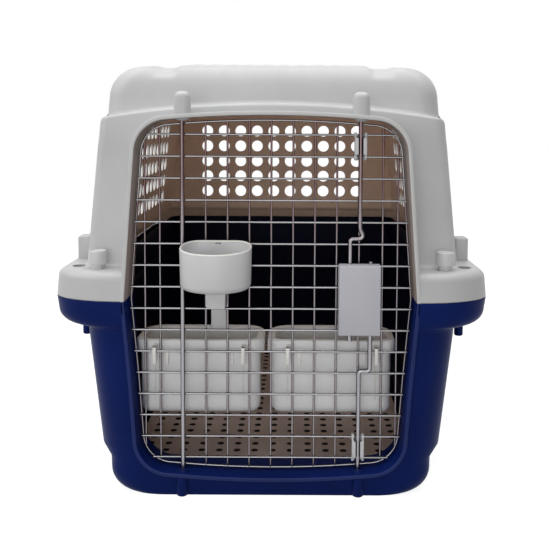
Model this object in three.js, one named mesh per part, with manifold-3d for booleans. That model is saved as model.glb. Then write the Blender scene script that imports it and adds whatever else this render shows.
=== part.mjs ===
// Pet travel crate: two moulded shells joined at a flange, with a hinged wire door,
// a sprung two-rod latch, two bowls with lids that hang on the door, and a water funnel.
// Millimetres. X runs across, Y from the door to the back, Z up, origin on the floor under
// the middle of the shells.

import * as THREE from 'three';
import { mergeVertices } from 'three/addons/utils/BufferGeometryUtils.js';
import Module from 'manifold-3d';

const wasm = await Module();
wasm.setup();

// Driving dimensions of the crate
const crateLength = 700;
const flangeWidth = 506;
const wall = 3;
const seamHeight = 226;
const running = 0.35;
const overrun = 6;
const cornerSteps = 4;
const edgeSteps = 3;

// Flange where the two shells meet
const flangeHalfX = flangeWidth / 2;
const flangeHalfY = crateLength / 2;
const flangeDrop = 34;
const flangeRise = 30;
const flangeBottom = seamHeight - flangeDrop;
const flangeTop = seamHeight + flangeRise;
const flangeCornerX = 82;
const flangeCornerY = 40;
const flangeDraft = 2;
const flangeEdgeRadius = 11;

// Top shell body
const ledgeWidth = 32.5;
const topLean = 20.5;
const topFootHalfX = flangeHalfX - ledgeWidth;
const topShoulderHalfX = topFootHalfX - topLean;
const topCornerRadius = 26;
const roofEdgeHeight = 497.5;
const roofEdgeRise = 42;
const topShoulderHeight = roofEdgeHeight - roofEdgeRise;
const roofEdgeInsetX = 36;
const roofEdgeInsetY = 24;
const roofCrown = 16;
const endPanelSetBack = 46;
const endPanelHalfY = flangeHalfY - endPanelSetBack;
const roofSetBack = 24;
const topHalfY = endPanelHalfY - roofSetBack;
const endPanelProud = 2.5;
const endPanelShoulderHalfX = topShoulderHalfX + endPanelProud;
const endPanelDrop = 46.5;
const endPanelCrown = roofEdgeHeight - endPanelDrop;
const endPanelArch = 5;
const endPanelCorner = endPanelCrown - endPanelArch;
const endPanelShoulderDrop = 24;
const endPanelShoulder = endPanelCrown - endPanelShoulderDrop;
const endPanelEdge = 6;
const topSkirtLift = 5;
const topSkirtBottom = seamHeight + topSkirtLift;
const tongueHeight = 17;
const tongueTop = seamHeight + tongueHeight;
const tongueClearance = 0.5;
const tongueHalfX = topFootHalfX - wall - tongueClearance;
const tongueHalfY = endPanelHalfY - wall - tongueClearance;

// Roof grooves at both ends
const grooveInset = 59;
const grooveWidth = 22;
const grooveOuter = topShoulderHalfX - grooveInset;
const grooveInner = grooveOuter - grooveWidth;
const grooveSlope = 9;
const grooveDepth = 12;
const grooveMiddleDepth = 5;

// Base shell body
const baseSetBack = 3.3;
const baseLean = 16.4;
const baseStepDepth = 9.8;
const baseShoulderHalfX = topFootHalfX - baseSetBack;
const baseFootHalfX = baseShoulderHalfX - baseLean;
const baseStepHalfX = baseFootHalfX - baseStepDepth;
const baseFrontSetBack = 5;
const baseFrontLean = 2.5;
const baseHalfY = flangeHalfY - baseFrontSetBack;
const baseFootHalfY = baseHalfY - baseFrontLean;
const baseCornerX = 50;
const baseCornerY = 38;
const baseStepTop = 50;
const baseStepBottom = 39;
const baseFootRadius = 34;
const baseFootDepth = 10;

// Doorway and its lip
const lipThickness = 5;
const lipDepth = 49;
const doorwayMargin = 88;
const doorwaySeamHalfX = flangeHalfX - doorwayMargin;
const doorwayTaper = 8;
const doorwayTopTaper = 12;
const doorwayBottomTaper = 13;
const doorwayUpperHalfX = doorwaySeamHalfX - doorwayTaper;
const doorwayTopHalfX = doorwaySeamHalfX - doorwayTopTaper;
const doorwayLowerHalfX = doorwaySeamHalfX - doorwayTaper;
const doorwayBottomHalfX = doorwaySeamHalfX - doorwayBottomTaper;
const doorwayTopMargin = 17;
const doorwayTop = endPanelCrown - doorwayTopMargin;
const doorwayTopArch = 5;
const doorwayTopCornerHeight = doorwayTop - doorwayTopArch;
const doorwayUpperDrop = 96;
const doorwayUpperHeight = doorwayTop - doorwayUpperDrop;
const doorwayLowerDrop = 90;
const doorwayLowerHeight = seamHeight - doorwayLowerDrop;
const doorwayBottom = 23.5;
const doorwayBottomArch = 5.3;
const doorwayBottomCornerHeight = doorwayBottom + doorwayBottomArch;
const doorwayCornerRadius = 38;
const sillHalfX = 58;
const sillDepth = 72;
const sillHollowSetBack = 22;

// Vents
const ventDiameter = 21.4;
const ventSides = 6;
const ventRows = 5;
const ventRowPitch = 29.5;
const ventTopMargin = 16;
const ventTopRow = endPanelShoulder - ventTopMargin;
const backVentColumns = 10;
const backVentMargin = 56.2;
const backVentPitch = 2 * (endPanelShoulderHalfX - backVentMargin) / (backVentColumns - 1);
const sideVentMargin = 100;
const sideVentPitch = 30;
const sideVentColumns = 1 + 2 * Math.round((topHalfY - sideVentMargin) / sideVentPitch);

// Wire door
const wireDiameter = 2.5;
const wirePitch = 25;
const wireWeld = 0.5;
const wireBottomRow = 40;
const outerUprightMargins = [37.5, 20.2];
const wireSides = 6;
const doorGap = 2.75;
const wireRowCount = 1 + Math.floor((doorwayTop - doorGap - 2 * wireDiameter - wireBottomRow) / wirePitch);

// Rods of the door
const rodDiameter = 5;
const rodSides = 8;
const rodMargin = 52;
const rodX = doorwayTopHalfX - rodMargin;
const rodSetBack = 14;
const rodY = -flangeHalfY + rodSetBack;
const rodBoreClearance = 0.4;
const bossRoofThickness = 5;
const hingeRodReach = 15;
const hingeRodTop = doorwayTop + hingeRodReach;
const hingeRodBottom = 9;
const latchRodReach = 9;
const latchRodTop = doorwayTop + latchRodReach;
const latchRodBottom = 14;
const topBossDiameter = 20;
const topBossRise = 27;
const topBossHeight = doorwayTop + topBossRise;
const bottomBossDiameter = 13.5;
const bossSides = 12;
const rowWireY = rodY + rodDiameter / 2 + running + wireDiameter / 2;
const uprightWireY = rowWireY + wireDiameter - wireWeld;
const rowWireFront = rowWireY - wireDiameter / 2;
const uprightWireBack = uprightWireY + wireDiameter / 2;

// Latch
const caseWidth = 46;
const caseOffset = 24;
const caseLeft = rodX - caseOffset;
const caseRight = caseLeft + caseWidth;
const innerUprightCount = Math.floor(caseLeft / wirePitch);
const caseRow = Math.round((seamHeight - wireBottomRow) / wirePitch);
const caseDrop = 30;
const caseBottom = wireBottomRow + caseRow * wirePitch - caseDrop;
const caseHeight = 80;
const caseTop = caseBottom + caseHeight;
const caseWall = 2;
const caseDepth = 16;
const caseBack = rowWireFront - running;
const caseFront = caseBack - caseDepth;
const upperJog = 11;
const lowerJog = 12.7;
const upperRodJogX = rodX - upperJog;
const lowerRodJogX = rodX + lowerJog;
const upperCrankRise = 31.5;
const lowerCrankDrop = 41;
const upperCrankHeight = caseTop + upperCrankRise;
const lowerCrankHeight = caseBottom - lowerCrankDrop;
const crankCornerRadius = 3.5;
const stubLength = 6;
const upperStubEnd = caseBottom - stubLength;
const lowerStubEnd = caseTop + stubLength;
const backPlateThickness = 2;
const latchScrewDiameter = 3.4;
const latchScrewHeadDiameter = 6.4;
const latchScrewHeadHeight = 1.8;
const screwPostDiameter = 7;
const bracketThickness = 4;
const bracketWidth = 13.4;
const upperBracketRise = 55;
const lowerBracketRise = 15;
const upperBracketHeight = caseBottom + upperBracketRise;
const lowerBracketHeight = caseBottom + lowerBracketRise;
const springDiameter = 7;
const springWire = 1.1;
const springTurns = 5;
const springStepsPerTurn = 8;
const springSides = 4;

// Rod guides
const guideWidth = 16;
const guideHeight = 26;
const guideDepth = 9;
const upperGuideDrop = 35;
const lowerGuideRise = 15;
const upperGuideHeight = doorwayTop - upperGuideDrop;
const lowerGuideHeight = wireBottomRow + lowerGuideRise;
const guideHookWidth = 4;
const guideHookThickness = 1.8;

// Bowls and their lids
const bowlSideMargin = 11;
const bowlRimWidth = doorwayLowerHalfX - bowlSideMargin;
const bowlSpacing = 8;
const bowlPitch = bowlRimWidth + bowlSpacing;
const bowlMiddleX = -7;
const bowlRimDepth = 69;
const bowlGap = 2.75;
const bowlFront = uprightWireBack + bowlGap;
const bowlBack = bowlFront + bowlRimDepth;
const bowlBodyInset = 7.5;
const bowlBodyFrontInset = 1.5;
const bowlBodyBackInset = 3;
const bowlWall = 2.2;
const hookWireRow = 5;
const hookWireHeight = wireBottomRow + hookWireRow * wirePitch;
const bowlRimRise = 1.3;
const bowlRimTop = hookWireHeight + bowlRimRise;
const bowlHeight = 77.8;
const bowlBottom = bowlRimTop - bowlHeight;
const bowlRimHeight = 5.3;
const bowlRimBottom = bowlRimTop - bowlRimHeight;
const bowlFootRadius = 13;
const bowlBackCornerRadius = 27;
const bowlFrontCornerRadius = 13;
const lidHeight = 10.2;
const lidTop = bowlRimTop + lidHeight;
const lidPlate = 2.5;
const lidCollarDrop = 9;
const lidCollarThickness = 2;
const hookMargin = 22;
const hookOffset = bowlRimWidth / 2 - hookMargin;
const hookWidth = 4;
const hookThickness = 2.4;
const hookReach = 19;
const tabWidth = 24;
const tabSlope = 3;
const tabRise = 5.7;
const tabTop = bowlRimTop + tabRise;
const ribSpacing = 13.3;
const ribOffset = hookOffset - ribSpacing;
const ribWidth = 4.4;
const ribLength = 14;
const ribTaperShare = 0.6;

// Water funnel
const neckWireRow = 7;
const neckRise = 4;
const neckBottom = wireBottomRow + neckWireRow * wirePitch + neckRise;
const neckLip = 6.5;
const neckLipBottom = neckBottom - neckLip;
const neckOffset = 1;
const neckX = neckOffset - (innerUprightCount - 1 / 2) * wirePitch;
const neckWidth = 20;
const neckTopWidth = 23;
const neckDepth = 19.5;
const neckFront = caseBack - neckDepth;
const cupRise = 28;
const cupFloor = neckBottom + cupRise;
const cupFrontHeight = 37;
const cupBackHeight = 43;
const cupFrontRim = cupFloor + cupFrontHeight;
const cupBackRim = cupFloor + cupBackHeight;
const cupReachLeft = 38.5;
const cupReachRight = 41;
const cupLeft = neckX - cupReachLeft;
const cupRight = neckX + cupReachRight;
const cupDepth = 63.5;
const cupFront = caseBack - cupDepth;
const cupWall = 2;
const cupFrontCornerRadius = 28;
const cupBackCornerRadius = 12;
const cupTaper = 3;
const cupFootRadius = 9;
const spoutSetBack = 7;
const spoutFront = bowlFront + spoutSetBack;
const spoutDepth = 13;
const spoutDrop = 31;
const spoutBottom = neckBottom - spoutDrop;
const spoutWidth = 17.5;
const funnelBoreWidth = 12;
const funnelBoreDepth = 7;

// Floor mat
const matSideMargin = 17;
const matEndMargin = 43;
const matHalfX = baseStepHalfX - matSideMargin;
const matHalfY = baseFootHalfY - matEndMargin;
const matCornerRadius = 32;
const matTop = 16.5;
const matThickness = 3;
const matSkirt = 2.5;
const matSkirtInset = 20;
const matNotchGap = 1.5;

// Fasteners of the flange
const knobMarginX = 51;
const knobMarginY = 31;
const knobX = flangeHalfX - knobMarginX;
const knobY = flangeHalfY - knobMarginY;
const knobDiameter = 20.6;
const knobHeight = 23.6;
const knobTop = flangeTop + knobHeight;
const knobNeckHeight = 4.5;
const knobBodyBottom = flangeTop + knobNeckHeight;
const knobNeckDiameter = 13;
const knobDish = 1.2;
const knobSides = 16;
const boltDiameter = 8;
const boltHeadDiameter = 13;
const boltHeadHeight = 4.5;
const boltPocketDiameter = 18;
const boltPocketDepth = 20;
const clampMarginX = 19;
const clampMarginY = 101;
const clampX = flangeHalfX - clampMarginX;
const clampY = flangeHalfY - clampMarginY;
const clampWidth = 16;
const clampLength = 22;
const clampHeight = 30.6;
const clampEdge = 3;
const clampStudDiameter = 11;
const clampStudHeight = 30;
const tieSlotMarginX = 27;
const tieSlotMarginY = 46;
const tieSlotX = flangeHalfX - tieSlotMarginX;
const tieSlotY = flangeHalfY - tieSlotMarginY;
const tieSlotLength = 16;
const tieSlotWidth = 5;

// Edges of the two shells at the seam
const baseEdge = seamHeight - running / 2;
const topEdge = seamHeight + running / 2;

// Solids and meshes

function solid(geometry) {
  const bare = geometry.index ? geometry.toNonIndexed() : geometry.clone();
  for (const name of Object.keys(bare.attributes)) {
    if (name !== 'position') bare.deleteAttribute(name);
  }
  const merged = mergeVertices(bare);
  const corners = merged.index.array;
  const kept = [];
  for (let i = 0; i < corners.length; i += 3) {
    const [a, b, c] = [corners[i], corners[i + 1], corners[i + 2]];
    if (a !== b && b !== c && c !== a) kept.push(a, b, c);
  }
  const mesh = new wasm.Mesh({
    numProp: 3,
    vertProperties: merged.attributes.position.array,
    triVerts: new Uint32Array(kept),
  });
  return new wasm.Manifold(mesh);
}

function geometryOf(body) {
  const mesh = body.getMesh();
  const geometry = new THREE.BufferGeometry();
  geometry.setAttribute('position', new THREE.BufferAttribute(mesh.vertProperties, 3));
  geometry.setIndex(new THREE.BufferAttribute(mesh.triVerts, 1));
  const flat = geometry.toNonIndexed();
  flat.computeVertexNormals();
  return flat;
}

function joined(bodies) {
  return bodies.reduce((sum, body) => sum.add(body));
}

// A closed skin through outlines that hold the same number of points
function loft(outlines) {
  const count = outlines[0].length;
  const corners = outlines.flat().flatMap((p) => [p.x, p.y, p.z]);
  const faces = [];
  for (let level = 0; level + 1 < outlines.length; level += 1) {
    for (let i = 0; i < count; i += 1) {
      const a = level * count + i;
      const b = level * count + ((i + 1) % count);
      faces.push(a, b, b + count, a, b + count, a + count);
    }
  }
  const last = (outlines.length - 1) * count;
  for (let i = 1; i + 1 < count; i += 1) {
    faces.push(0, i + 1, i, last, last + i, last + i + 1);
  }
  const geometry = new THREE.BufferGeometry();
  geometry.setAttribute('position', new THREE.Float32BufferAttribute(corners, 3));
  geometry.setIndex(faces);
  return solid(geometry);
}

// A rounded rectangle with elliptical corners, counterclockwise from above
function plan({ x = 0, y = 0, z, halfX, halfY, cornerX, cornerY, backX = cornerX, backY = cornerY }) {
  const points = [];
  const corners = [
    [1, 1, backX, backY, 0],
    [-1, 1, backX, backY, 1],
    [-1, -1, cornerX, cornerY, 2],
    [1, -1, cornerX, cornerY, 3],
  ];
  for (const [sideX, sideY, radiusX, radiusY, quarter] of corners) {
    for (let step = 0; step <= cornerSteps; step += 1) {
      const angle = (quarter + step / cornerSteps) * Math.PI / 2;
      const px = x + sideX * (halfX - radiusX) + radiusX * Math.cos(angle);
      const py = y + sideY * (halfY - radiusY) + radiusY * Math.sin(angle);
      points.push(new THREE.Vector3(px, py, z));
    }
  }
  return points;
}

function alongZ(shape, bottom, top) {
  const geometry = new THREE.ExtrudeGeometry(shape, { depth: top - bottom, bevelEnabled: false });
  return solid(geometry.translate(0, 0, bottom));
}

// An outline drawn in X and Z, drawn out along Y
function alongY(shape, front, back) {
  const geometry = new THREE.ExtrudeGeometry(shape, { depth: back - front, bevelEnabled: false });
  return solid(geometry.rotateX(Math.PI / 2).translate(0, back, 0));
}

// An outline drawn in Y and Z, drawn out along X
function alongX(shape, left, right) {
  const geometry = new THREE.ExtrudeGeometry(shape, { depth: right - left, bevelEnabled: false });
  return solid(geometry.rotateX(Math.PI / 2).rotateZ(Math.PI / 2).translate(left, 0, 0));
}

function block(left, right, front, back, bottom, top) {
  const geometry = new THREE.BoxGeometry(right - left, back - front, top - bottom);
  return solid(geometry.translate((left + right) / 2, (front + back) / 2, (bottom + top) / 2));
}

function post(x, y, diameter, bottom, top, sides = bossSides) {
  const geometry = new THREE.CylinderGeometry(diameter / 2, diameter / 2, top - bottom, sides);
  return solid(geometry.rotateX(Math.PI / 2).translate(x, y, (bottom + top) / 2));
}

function turned(profile, x, y, sides = knobSides) {
  const points = profile.map(([radius, height]) => new THREE.Vector2(radius, height));
  const geometry = new THREE.LatheGeometry(points, sides);
  return solid(geometry.rotateX(Math.PI / 2).translate(x, y, 0));
}

// A bar of round section along a route; across gives the direction that a corner of the section faces
function tube(route, diameter, sides, across, closed = false) {
  const count = route.length;
  const rings = route.map((point, i) => {
    const before = route[closed ? (i + count - 1) % count : Math.max(i - 1, 0)];
    const after = route[closed ? (i + 1) % count : Math.min(i + 1, count - 1)];
    const into = point.clone().sub(before).normalize();
    const out = after.clone().sub(point).normalize();
    const along = into.clone().add(out).normalize();
    const mitre = into.lengthSq() > 0 && out.lengthSq() > 0 ? along.dot(out) : 1;
    const first = across(point, along).normalize();
    const second = along.clone().cross(first).normalize();
    return Array.from({ length: sides }, (_, k) => {
      const angle = k / sides * Math.PI * 2;
      const reach = diameter / 2;
      return point.clone()
        .addScaledVector(first, reach * Math.cos(angle))
        .addScaledVector(second, reach * Math.sin(angle) / mitre);
    });
  });
  if (!closed) return loft(rings);
  const corners = rings.flat().flatMap((p) => [p.x, p.y, p.z]);
  const faces = [];
  for (let ring = 0; ring < count; ring += 1) {
    for (let k = 0; k < sides; k += 1) {
      const a = ring * sides + k;
      const b = ring * sides + ((k + 1) % sides);
      const c = ((ring + 1) % count) * sides + k;
      const d = ((ring + 1) % count) * sides + ((k + 1) % sides);
      faces.push(a, b, d, a, d, c);
    }
  }
  const geometry = new THREE.BufferGeometry();
  geometry.setAttribute('position', new THREE.Float32BufferAttribute(corners, 3));
  geometry.setIndex(faces);
  return solid(geometry);
}

const depthwise = () => new THREE.Vector3(0, -1, 0);

// Outline of the doorway, grown by an offset, as points in X and Z

function doorwayOutline(offset) {
  const cornerX = doorwayBottomHalfX - doorwayCornerRadius;
  const topCornerX = doorwayTopHalfX - doorwayCornerRadius;
  const cornerRadius = doorwayCornerRadius + offset;
  const lowerCentre = doorwayBottomCornerHeight + doorwayCornerRadius;
  const upperCentre = doorwayTopCornerHeight - doorwayCornerRadius;
  const half = new THREE.Path();
  half.moveTo(0, doorwayBottom - offset);
  half.quadraticCurveTo(cornerX / 2, doorwayBottom - offset, cornerX, doorwayBottomCornerHeight - offset);
  half.absarc(cornerX, lowerCentre, cornerRadius, -Math.PI / 2, 0, false);
  half.lineTo(doorwayLowerHalfX + offset, doorwayLowerHeight);
  half.lineTo(doorwaySeamHalfX + offset, seamHeight);
  half.lineTo(doorwayUpperHalfX + offset, doorwayUpperHeight);
  half.absarc(topCornerX, upperCentre, cornerRadius, 0, Math.PI / 2, false);
  half.quadraticCurveTo(topCornerX / 2, doorwayTop + offset, 0, doorwayTop + offset);
  const right = half.getPoints(edgeSteps - 1).filter((p, i, all) => i === 0 || p.distanceTo(all[i - 1]) > running);
  const left = right.slice(1, -1).reverse().map((p) => new THREE.Vector2(-p.x, p.y));
  return [...right, ...left];
}

// How far an outline reaches sideways at a height, and down and up at a distance from the middle

function reachAtHeight(outline, height) {
  let reach = 0;
  outline.forEach((a, i) => {
    const b = outline[(i + 1) % outline.length];
    if ((a.y - height) * (b.y - height) <= 0 && a.y !== b.y) {
      reach = Math.max(reach, THREE.MathUtils.mapLinear(height, a.y, b.y, a.x, b.x));
    }
  });
  return reach;
}

function spanAt(outline, x) {
  const heights = [];
  outline.forEach((a, i) => {
    const b = outline[(i + 1) % outline.length];
    if ((a.x - x) * (b.x - x) <= 0 && a.x !== b.x) {
      heights.push(THREE.MathUtils.mapLinear(x, a.x, b.x, a.y, b.y));
    }
  });
  return [Math.min(...heights), Math.max(...heights)];
}

const doorwayCut = alongY(new THREE.Shape(doorwayOutline(0)), -flangeHalfY - overrun, -endPanelHalfY + wall + overrun);

function lipRing() {
  const shape = new THREE.Shape(doorwayOutline(lipThickness));
  shape.holes.push(new THREE.Path(doorwayOutline(0)));
  return alongY(shape, -flangeHalfY, -flangeHalfY + lipDepth);
}

// Solid below or above a height, as wide and long as the crate
function below(height) {
  return block(-flangeWidth, flangeWidth, -crateLength, crateLength, -crateLength, height);
}

function above(height) {
  return block(-flangeWidth, flangeWidth, -crateLength, crateLength, height, crateLength);
}

// Flange: a rim with rounded corners, with the inner face one wall inside the outer

function flangePlan(z, inset) {
  return plan({
    z,
    halfX: flangeHalfX - inset,
    halfY: flangeHalfY - inset,
    cornerX: flangeCornerX - inset,
    cornerY: flangeCornerY - inset,
  });
}

// The rim's side leans in by the draft from the seam, then turns over a round edge
function flangeSide(seamLevel, farLevel, inset) {
  const up = Math.sign(farLevel - seamLevel);
  const radius = flangeEdgeRadius - inset;
  const outlines = [flangePlan(seamLevel, inset)];
  for (let step = 0; step <= edgeSteps; step += 1) {
    const angle = step / edgeSteps * Math.PI / 2;
    const level = farLevel - up * radius * (1 - Math.sin(angle));
    outlines.push(flangePlan(level, inset + flangeDraft + radius * (1 - Math.cos(angle))));
  }
  return loft(up > 0 ? outlines : outlines.reverse());
}

// Holes through the flange for the bolts, the clamp studs and the cable ties

function fourWays(x, y) {
  return [[x, y], [-x, y], [-x, -y], [x, -y]];
}

function flangeHoles() {
  const bottom = flangeBottom - overrun;
  const top = flangeTop + overrun;
  const bolts = fourWays(knobX, knobY).map(([x, y]) => post(x, y, boltDiameter + 2 * running, bottom, top));
  const slots = fourWays(tieSlotX, tieSlotY).map(([x, y]) => block(
    x - tieSlotLength / 2, x + tieSlotLength / 2, y - tieSlotWidth / 2, y + tieSlotWidth / 2, bottom, top,
  ));
  return joined([...bolts, ...slots]);
}

// Top shell

function topBodyPlan(z, halfX, halfY, inset) {
  return plan({
    z,
    halfX: halfX - inset,
    halfY: halfY - inset,
    cornerX: topCornerRadius - inset,
    cornerY: topCornerRadius - inset,
  });
}

// Walls that lean in, a rounded roof edge and a crowned roof
function topBody(inset, bottom) {
  const rise = roofEdgeRise - inset;
  const outlines = [
    topBodyPlan(bottom, topFootHalfX, topHalfY, inset),
    topBodyPlan(flangeTop, topFootHalfX, topHalfY, inset),
    topBodyPlan(topShoulderHeight, topShoulderHalfX, topHalfY, inset),
  ];
  for (let step = 1; step <= edgeSteps; step += 1) {
    const angle = step / edgeSteps * Math.PI / 2;
    const turn = 1 - Math.cos(angle);
    outlines.push(topBodyPlan(
      topShoulderHeight + rise * Math.sin(angle),
      topShoulderHalfX - (roofEdgeInsetX - inset) * turn,
      topHalfY - (roofEdgeInsetY - inset) * turn,
      inset,
    ));
  }
  const edge = outlines.at(-1);
  for (let step = 1; step < edgeSteps; step += 1) {
    const share = 1 - step / edgeSteps;
    const height = roofEdgeHeight - inset + roofCrown * (1 - share * share);
    outlines.push(edge.map((p) => new THREE.Vector3(p.x * share, p.y * share, height)));
  }
  return loft(outlines);
}

// The end walls stand further out than the roof, under an arched top
function endPanel(inset, bottom) {
  const footX = topFootHalfX - inset;
  const shoulderX = endPanelShoulderHalfX - inset;
  const shape = new THREE.Shape();
  shape.moveTo(-footX, bottom);
  shape.lineTo(footX, bottom);
  shape.lineTo(footX, flangeTop);
  shape.lineTo(shoulderX, endPanelShoulder - inset);
  shape.quadraticCurveTo(shoulderX, endPanelCorner - inset - endPanelEdge, shoulderX / 2 + doorwayTopHalfX / 2, endPanelCorner - inset - endPanelEdge / 2);
  shape.quadraticCurveTo(doorwayTopHalfX / 2, endPanelCrown - inset, 0, endPanelCrown - inset);
  shape.quadraticCurveTo(-doorwayTopHalfX / 2, endPanelCrown - inset, -shoulderX / 2 - doorwayTopHalfX / 2, endPanelCorner - inset - endPanelEdge / 2);
  shape.quadraticCurveTo(-shoulderX, endPanelCorner - inset - endPanelEdge, -shoulderX, endPanelShoulder - inset);
  shape.lineTo(-footX, flangeTop);
  const edge = Math.max(endPanelEdge - inset, running);
  const depth = 2 * (endPanelHalfY - inset - edge);
  const geometry = new THREE.ExtrudeGeometry(shape, {
    depth,
    curveSegments: edgeSteps,
    bevelThickness: edge,
    bevelSize: edge,
    bevelOffset: -edge,
    bevelSegments: 2,
  });
  return solid(geometry.rotateX(Math.PI / 2).translate(0, depth / 2, 0));
}

// A groove in the roof, deepest at its open ends
function roofGroove(side) {
  const outlines = [-1, 0, 1].map((end) => {
    const y = end * (topHalfY + overrun);
    const floor = end === 0 ? roofEdgeHeight + roofCrown - grooveMiddleDepth : roofEdgeHeight - grooveDepth;
    const top = roofEdgeHeight + roofCrown + overrun;
    const spread = grooveSlope * (top - floor) / grooveDepth;
    return [
      new THREE.Vector3(side * (grooveInner - spread), y, top),
      new THREE.Vector3(side * (grooveOuter + spread), y, top),
      new THREE.Vector3(side * grooveOuter, y, floor),
      new THREE.Vector3(side * grooveInner, y, floor),
    ];
  });
  return loft(side > 0 ? outlines : outlines.map((outline) => [...outline].reverse()));
}

function vents() {
  const holes = [];
  const across = new THREE.CylinderGeometry(ventDiameter / 2, ventDiameter / 2, wall + 4 * overrun, ventSides);
  across.rotateY(Math.PI / ventSides);
  for (let row = 0; row < ventRows; row += 1) {
    const z = ventTopRow - row * ventRowPitch;
    for (let column = 0; column < backVentColumns; column += 1) {
      const x = (column - (backVentColumns - 1) / 2) * backVentPitch;
      holes.push(solid(across.clone().translate(x, endPanelHalfY, z)));
    }
    for (let column = 0; column < sideVentColumns; column += 1) {
      const y = (column - (sideVentColumns - 1) / 2) * sideVentPitch;
      for (const side of [-1, 1]) {
        const sideways = across.clone().rotateZ(Math.PI / 2);
        const x = side * THREE.MathUtils.mapLinear(z, flangeTop, topShoulderHeight, topFootHalfX, topShoulderHalfX);
        holes.push(solid(sideways.translate(x, y, z)));
      }
    }
  }
  return joined(holes);
}

function topBoss(side) {
  const x = side * rodX;
  const radius = topBossDiameter / 2;
  const profile = [[0, doorwayTop]];
  for (let step = 0; step <= edgeSteps; step += 1) {
    const angle = step / edgeSteps * Math.PI / 2;
    profile.push([radius * Math.cos(angle), topBossHeight - radius / 2 + radius / 2 * Math.sin(angle)]);
  }
  profile.splice(1, 0, [radius, doorwayTop]);
  profile.at(-1)[0] = 0;
  return turned(profile, x, rodY, bossSides);
}

function rodBore(side, bottom, top) {
  return post(side * rodX, rodY, rodDiameter + 2 * rodBoreClearance, bottom, top);
}

function topShell() {
  const rim = flangeSide(topEdge, flangeTop, 0)
    .subtract(flangeSide(topEdge - overrun, flangeTop - wall, wall));
  const outer = topBody(0, topSkirtBottom).add(endPanel(0, topSkirtBottom));
  const inner = topBody(wall, seamHeight - overrun).add(endPanel(wall, seamHeight - overrun));
  const lip = lipRing().intersect(above(topEdge));
  const bosses = joined([topBoss(-1), topBoss(1)]);
  const bores = joined([-1, 1].map((side) => rodBore(side, doorwayTop - wirePitch, topBossHeight - bossRoofThickness)));
  return rim.add(outer)
    .subtract(roofGroove(1)).subtract(roofGroove(-1))
    .subtract(inner.subtract(roofGrooveUnderside(1)).subtract(roofGrooveUnderside(-1)))
    .add(lip).add(bosses)
    .subtract(doorwayCut)
    .subtract(bores)
    .subtract(flangeHoles())
    .subtract(vents());
}

// Below a groove the roof keeps its wall
function roofGrooveUnderside(side) {
  const outlines = [-1, 0, 1].map((end) => {
    const y = end * (topHalfY + overrun);
    const floor = (end === 0 ? roofEdgeHeight + roofCrown - grooveMiddleDepth : roofEdgeHeight - grooveDepth) - wall;
    const top = roofEdgeHeight + roofCrown + overrun;
    const spread = grooveSlope * (top - floor) / grooveDepth;
    return [
      new THREE.Vector3(side * (grooveInner - wall - spread), y, top),
      new THREE.Vector3(side * (grooveOuter + wall + spread), y, top),
      new THREE.Vector3(side * (grooveOuter + wall), y, floor),
      new THREE.Vector3(side * (grooveInner - wall), y, floor),
    ];
  });
  return loft(side > 0 ? outlines : outlines.map((outline) => [...outline].reverse()));
}

// Base shell

function basePlan(z, halfX, halfY, inset) {
  return plan({
    z,
    halfX: halfX - inset,
    halfY: halfY - inset,
    cornerX: baseCornerX - inset,
    cornerY: baseCornerY - inset,
  });
}

// From the floor up: a rounded foot, a step in the sides, then walls that lean out
function baseBody(inset, top) {
  const radius = baseFootRadius - inset;
  const depth = baseFootDepth - inset;
  const outlines = [];
  for (let step = 0; step <= edgeSteps; step += 1) {
    const angle = step / edgeSteps * Math.PI / 2;
    const turn = 1 - Math.sin(angle);
    const z = inset + radius * (1 - Math.cos(angle));
    outlines.push(basePlan(z, baseStepHalfX - radius * turn, baseFootHalfY - depth * turn, inset));
  }
  outlines.push(basePlan(baseStepBottom, baseStepHalfX, baseFootHalfY, inset));
  outlines.push(basePlan(baseStepTop, baseFootHalfX, baseFootHalfY, inset));
  outlines.push(basePlan(flangeBottom, baseShoulderHalfX, baseHalfY, inset));
  outlines.push(basePlan(top, baseShoulderHalfX, baseHalfY, inset));
  return loft(outlines);
}

function tongue(inset, bottom) {
  return loft([bottom, tongueTop + (inset > 0 ? overrun : 0)].map((z) => plan({
    z,
    halfX: tongueHalfX - inset,
    halfY: tongueHalfY - inset,
    cornerX: topCornerRadius - inset,
    cornerY: topCornerRadius - inset,
  })));
}

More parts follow.
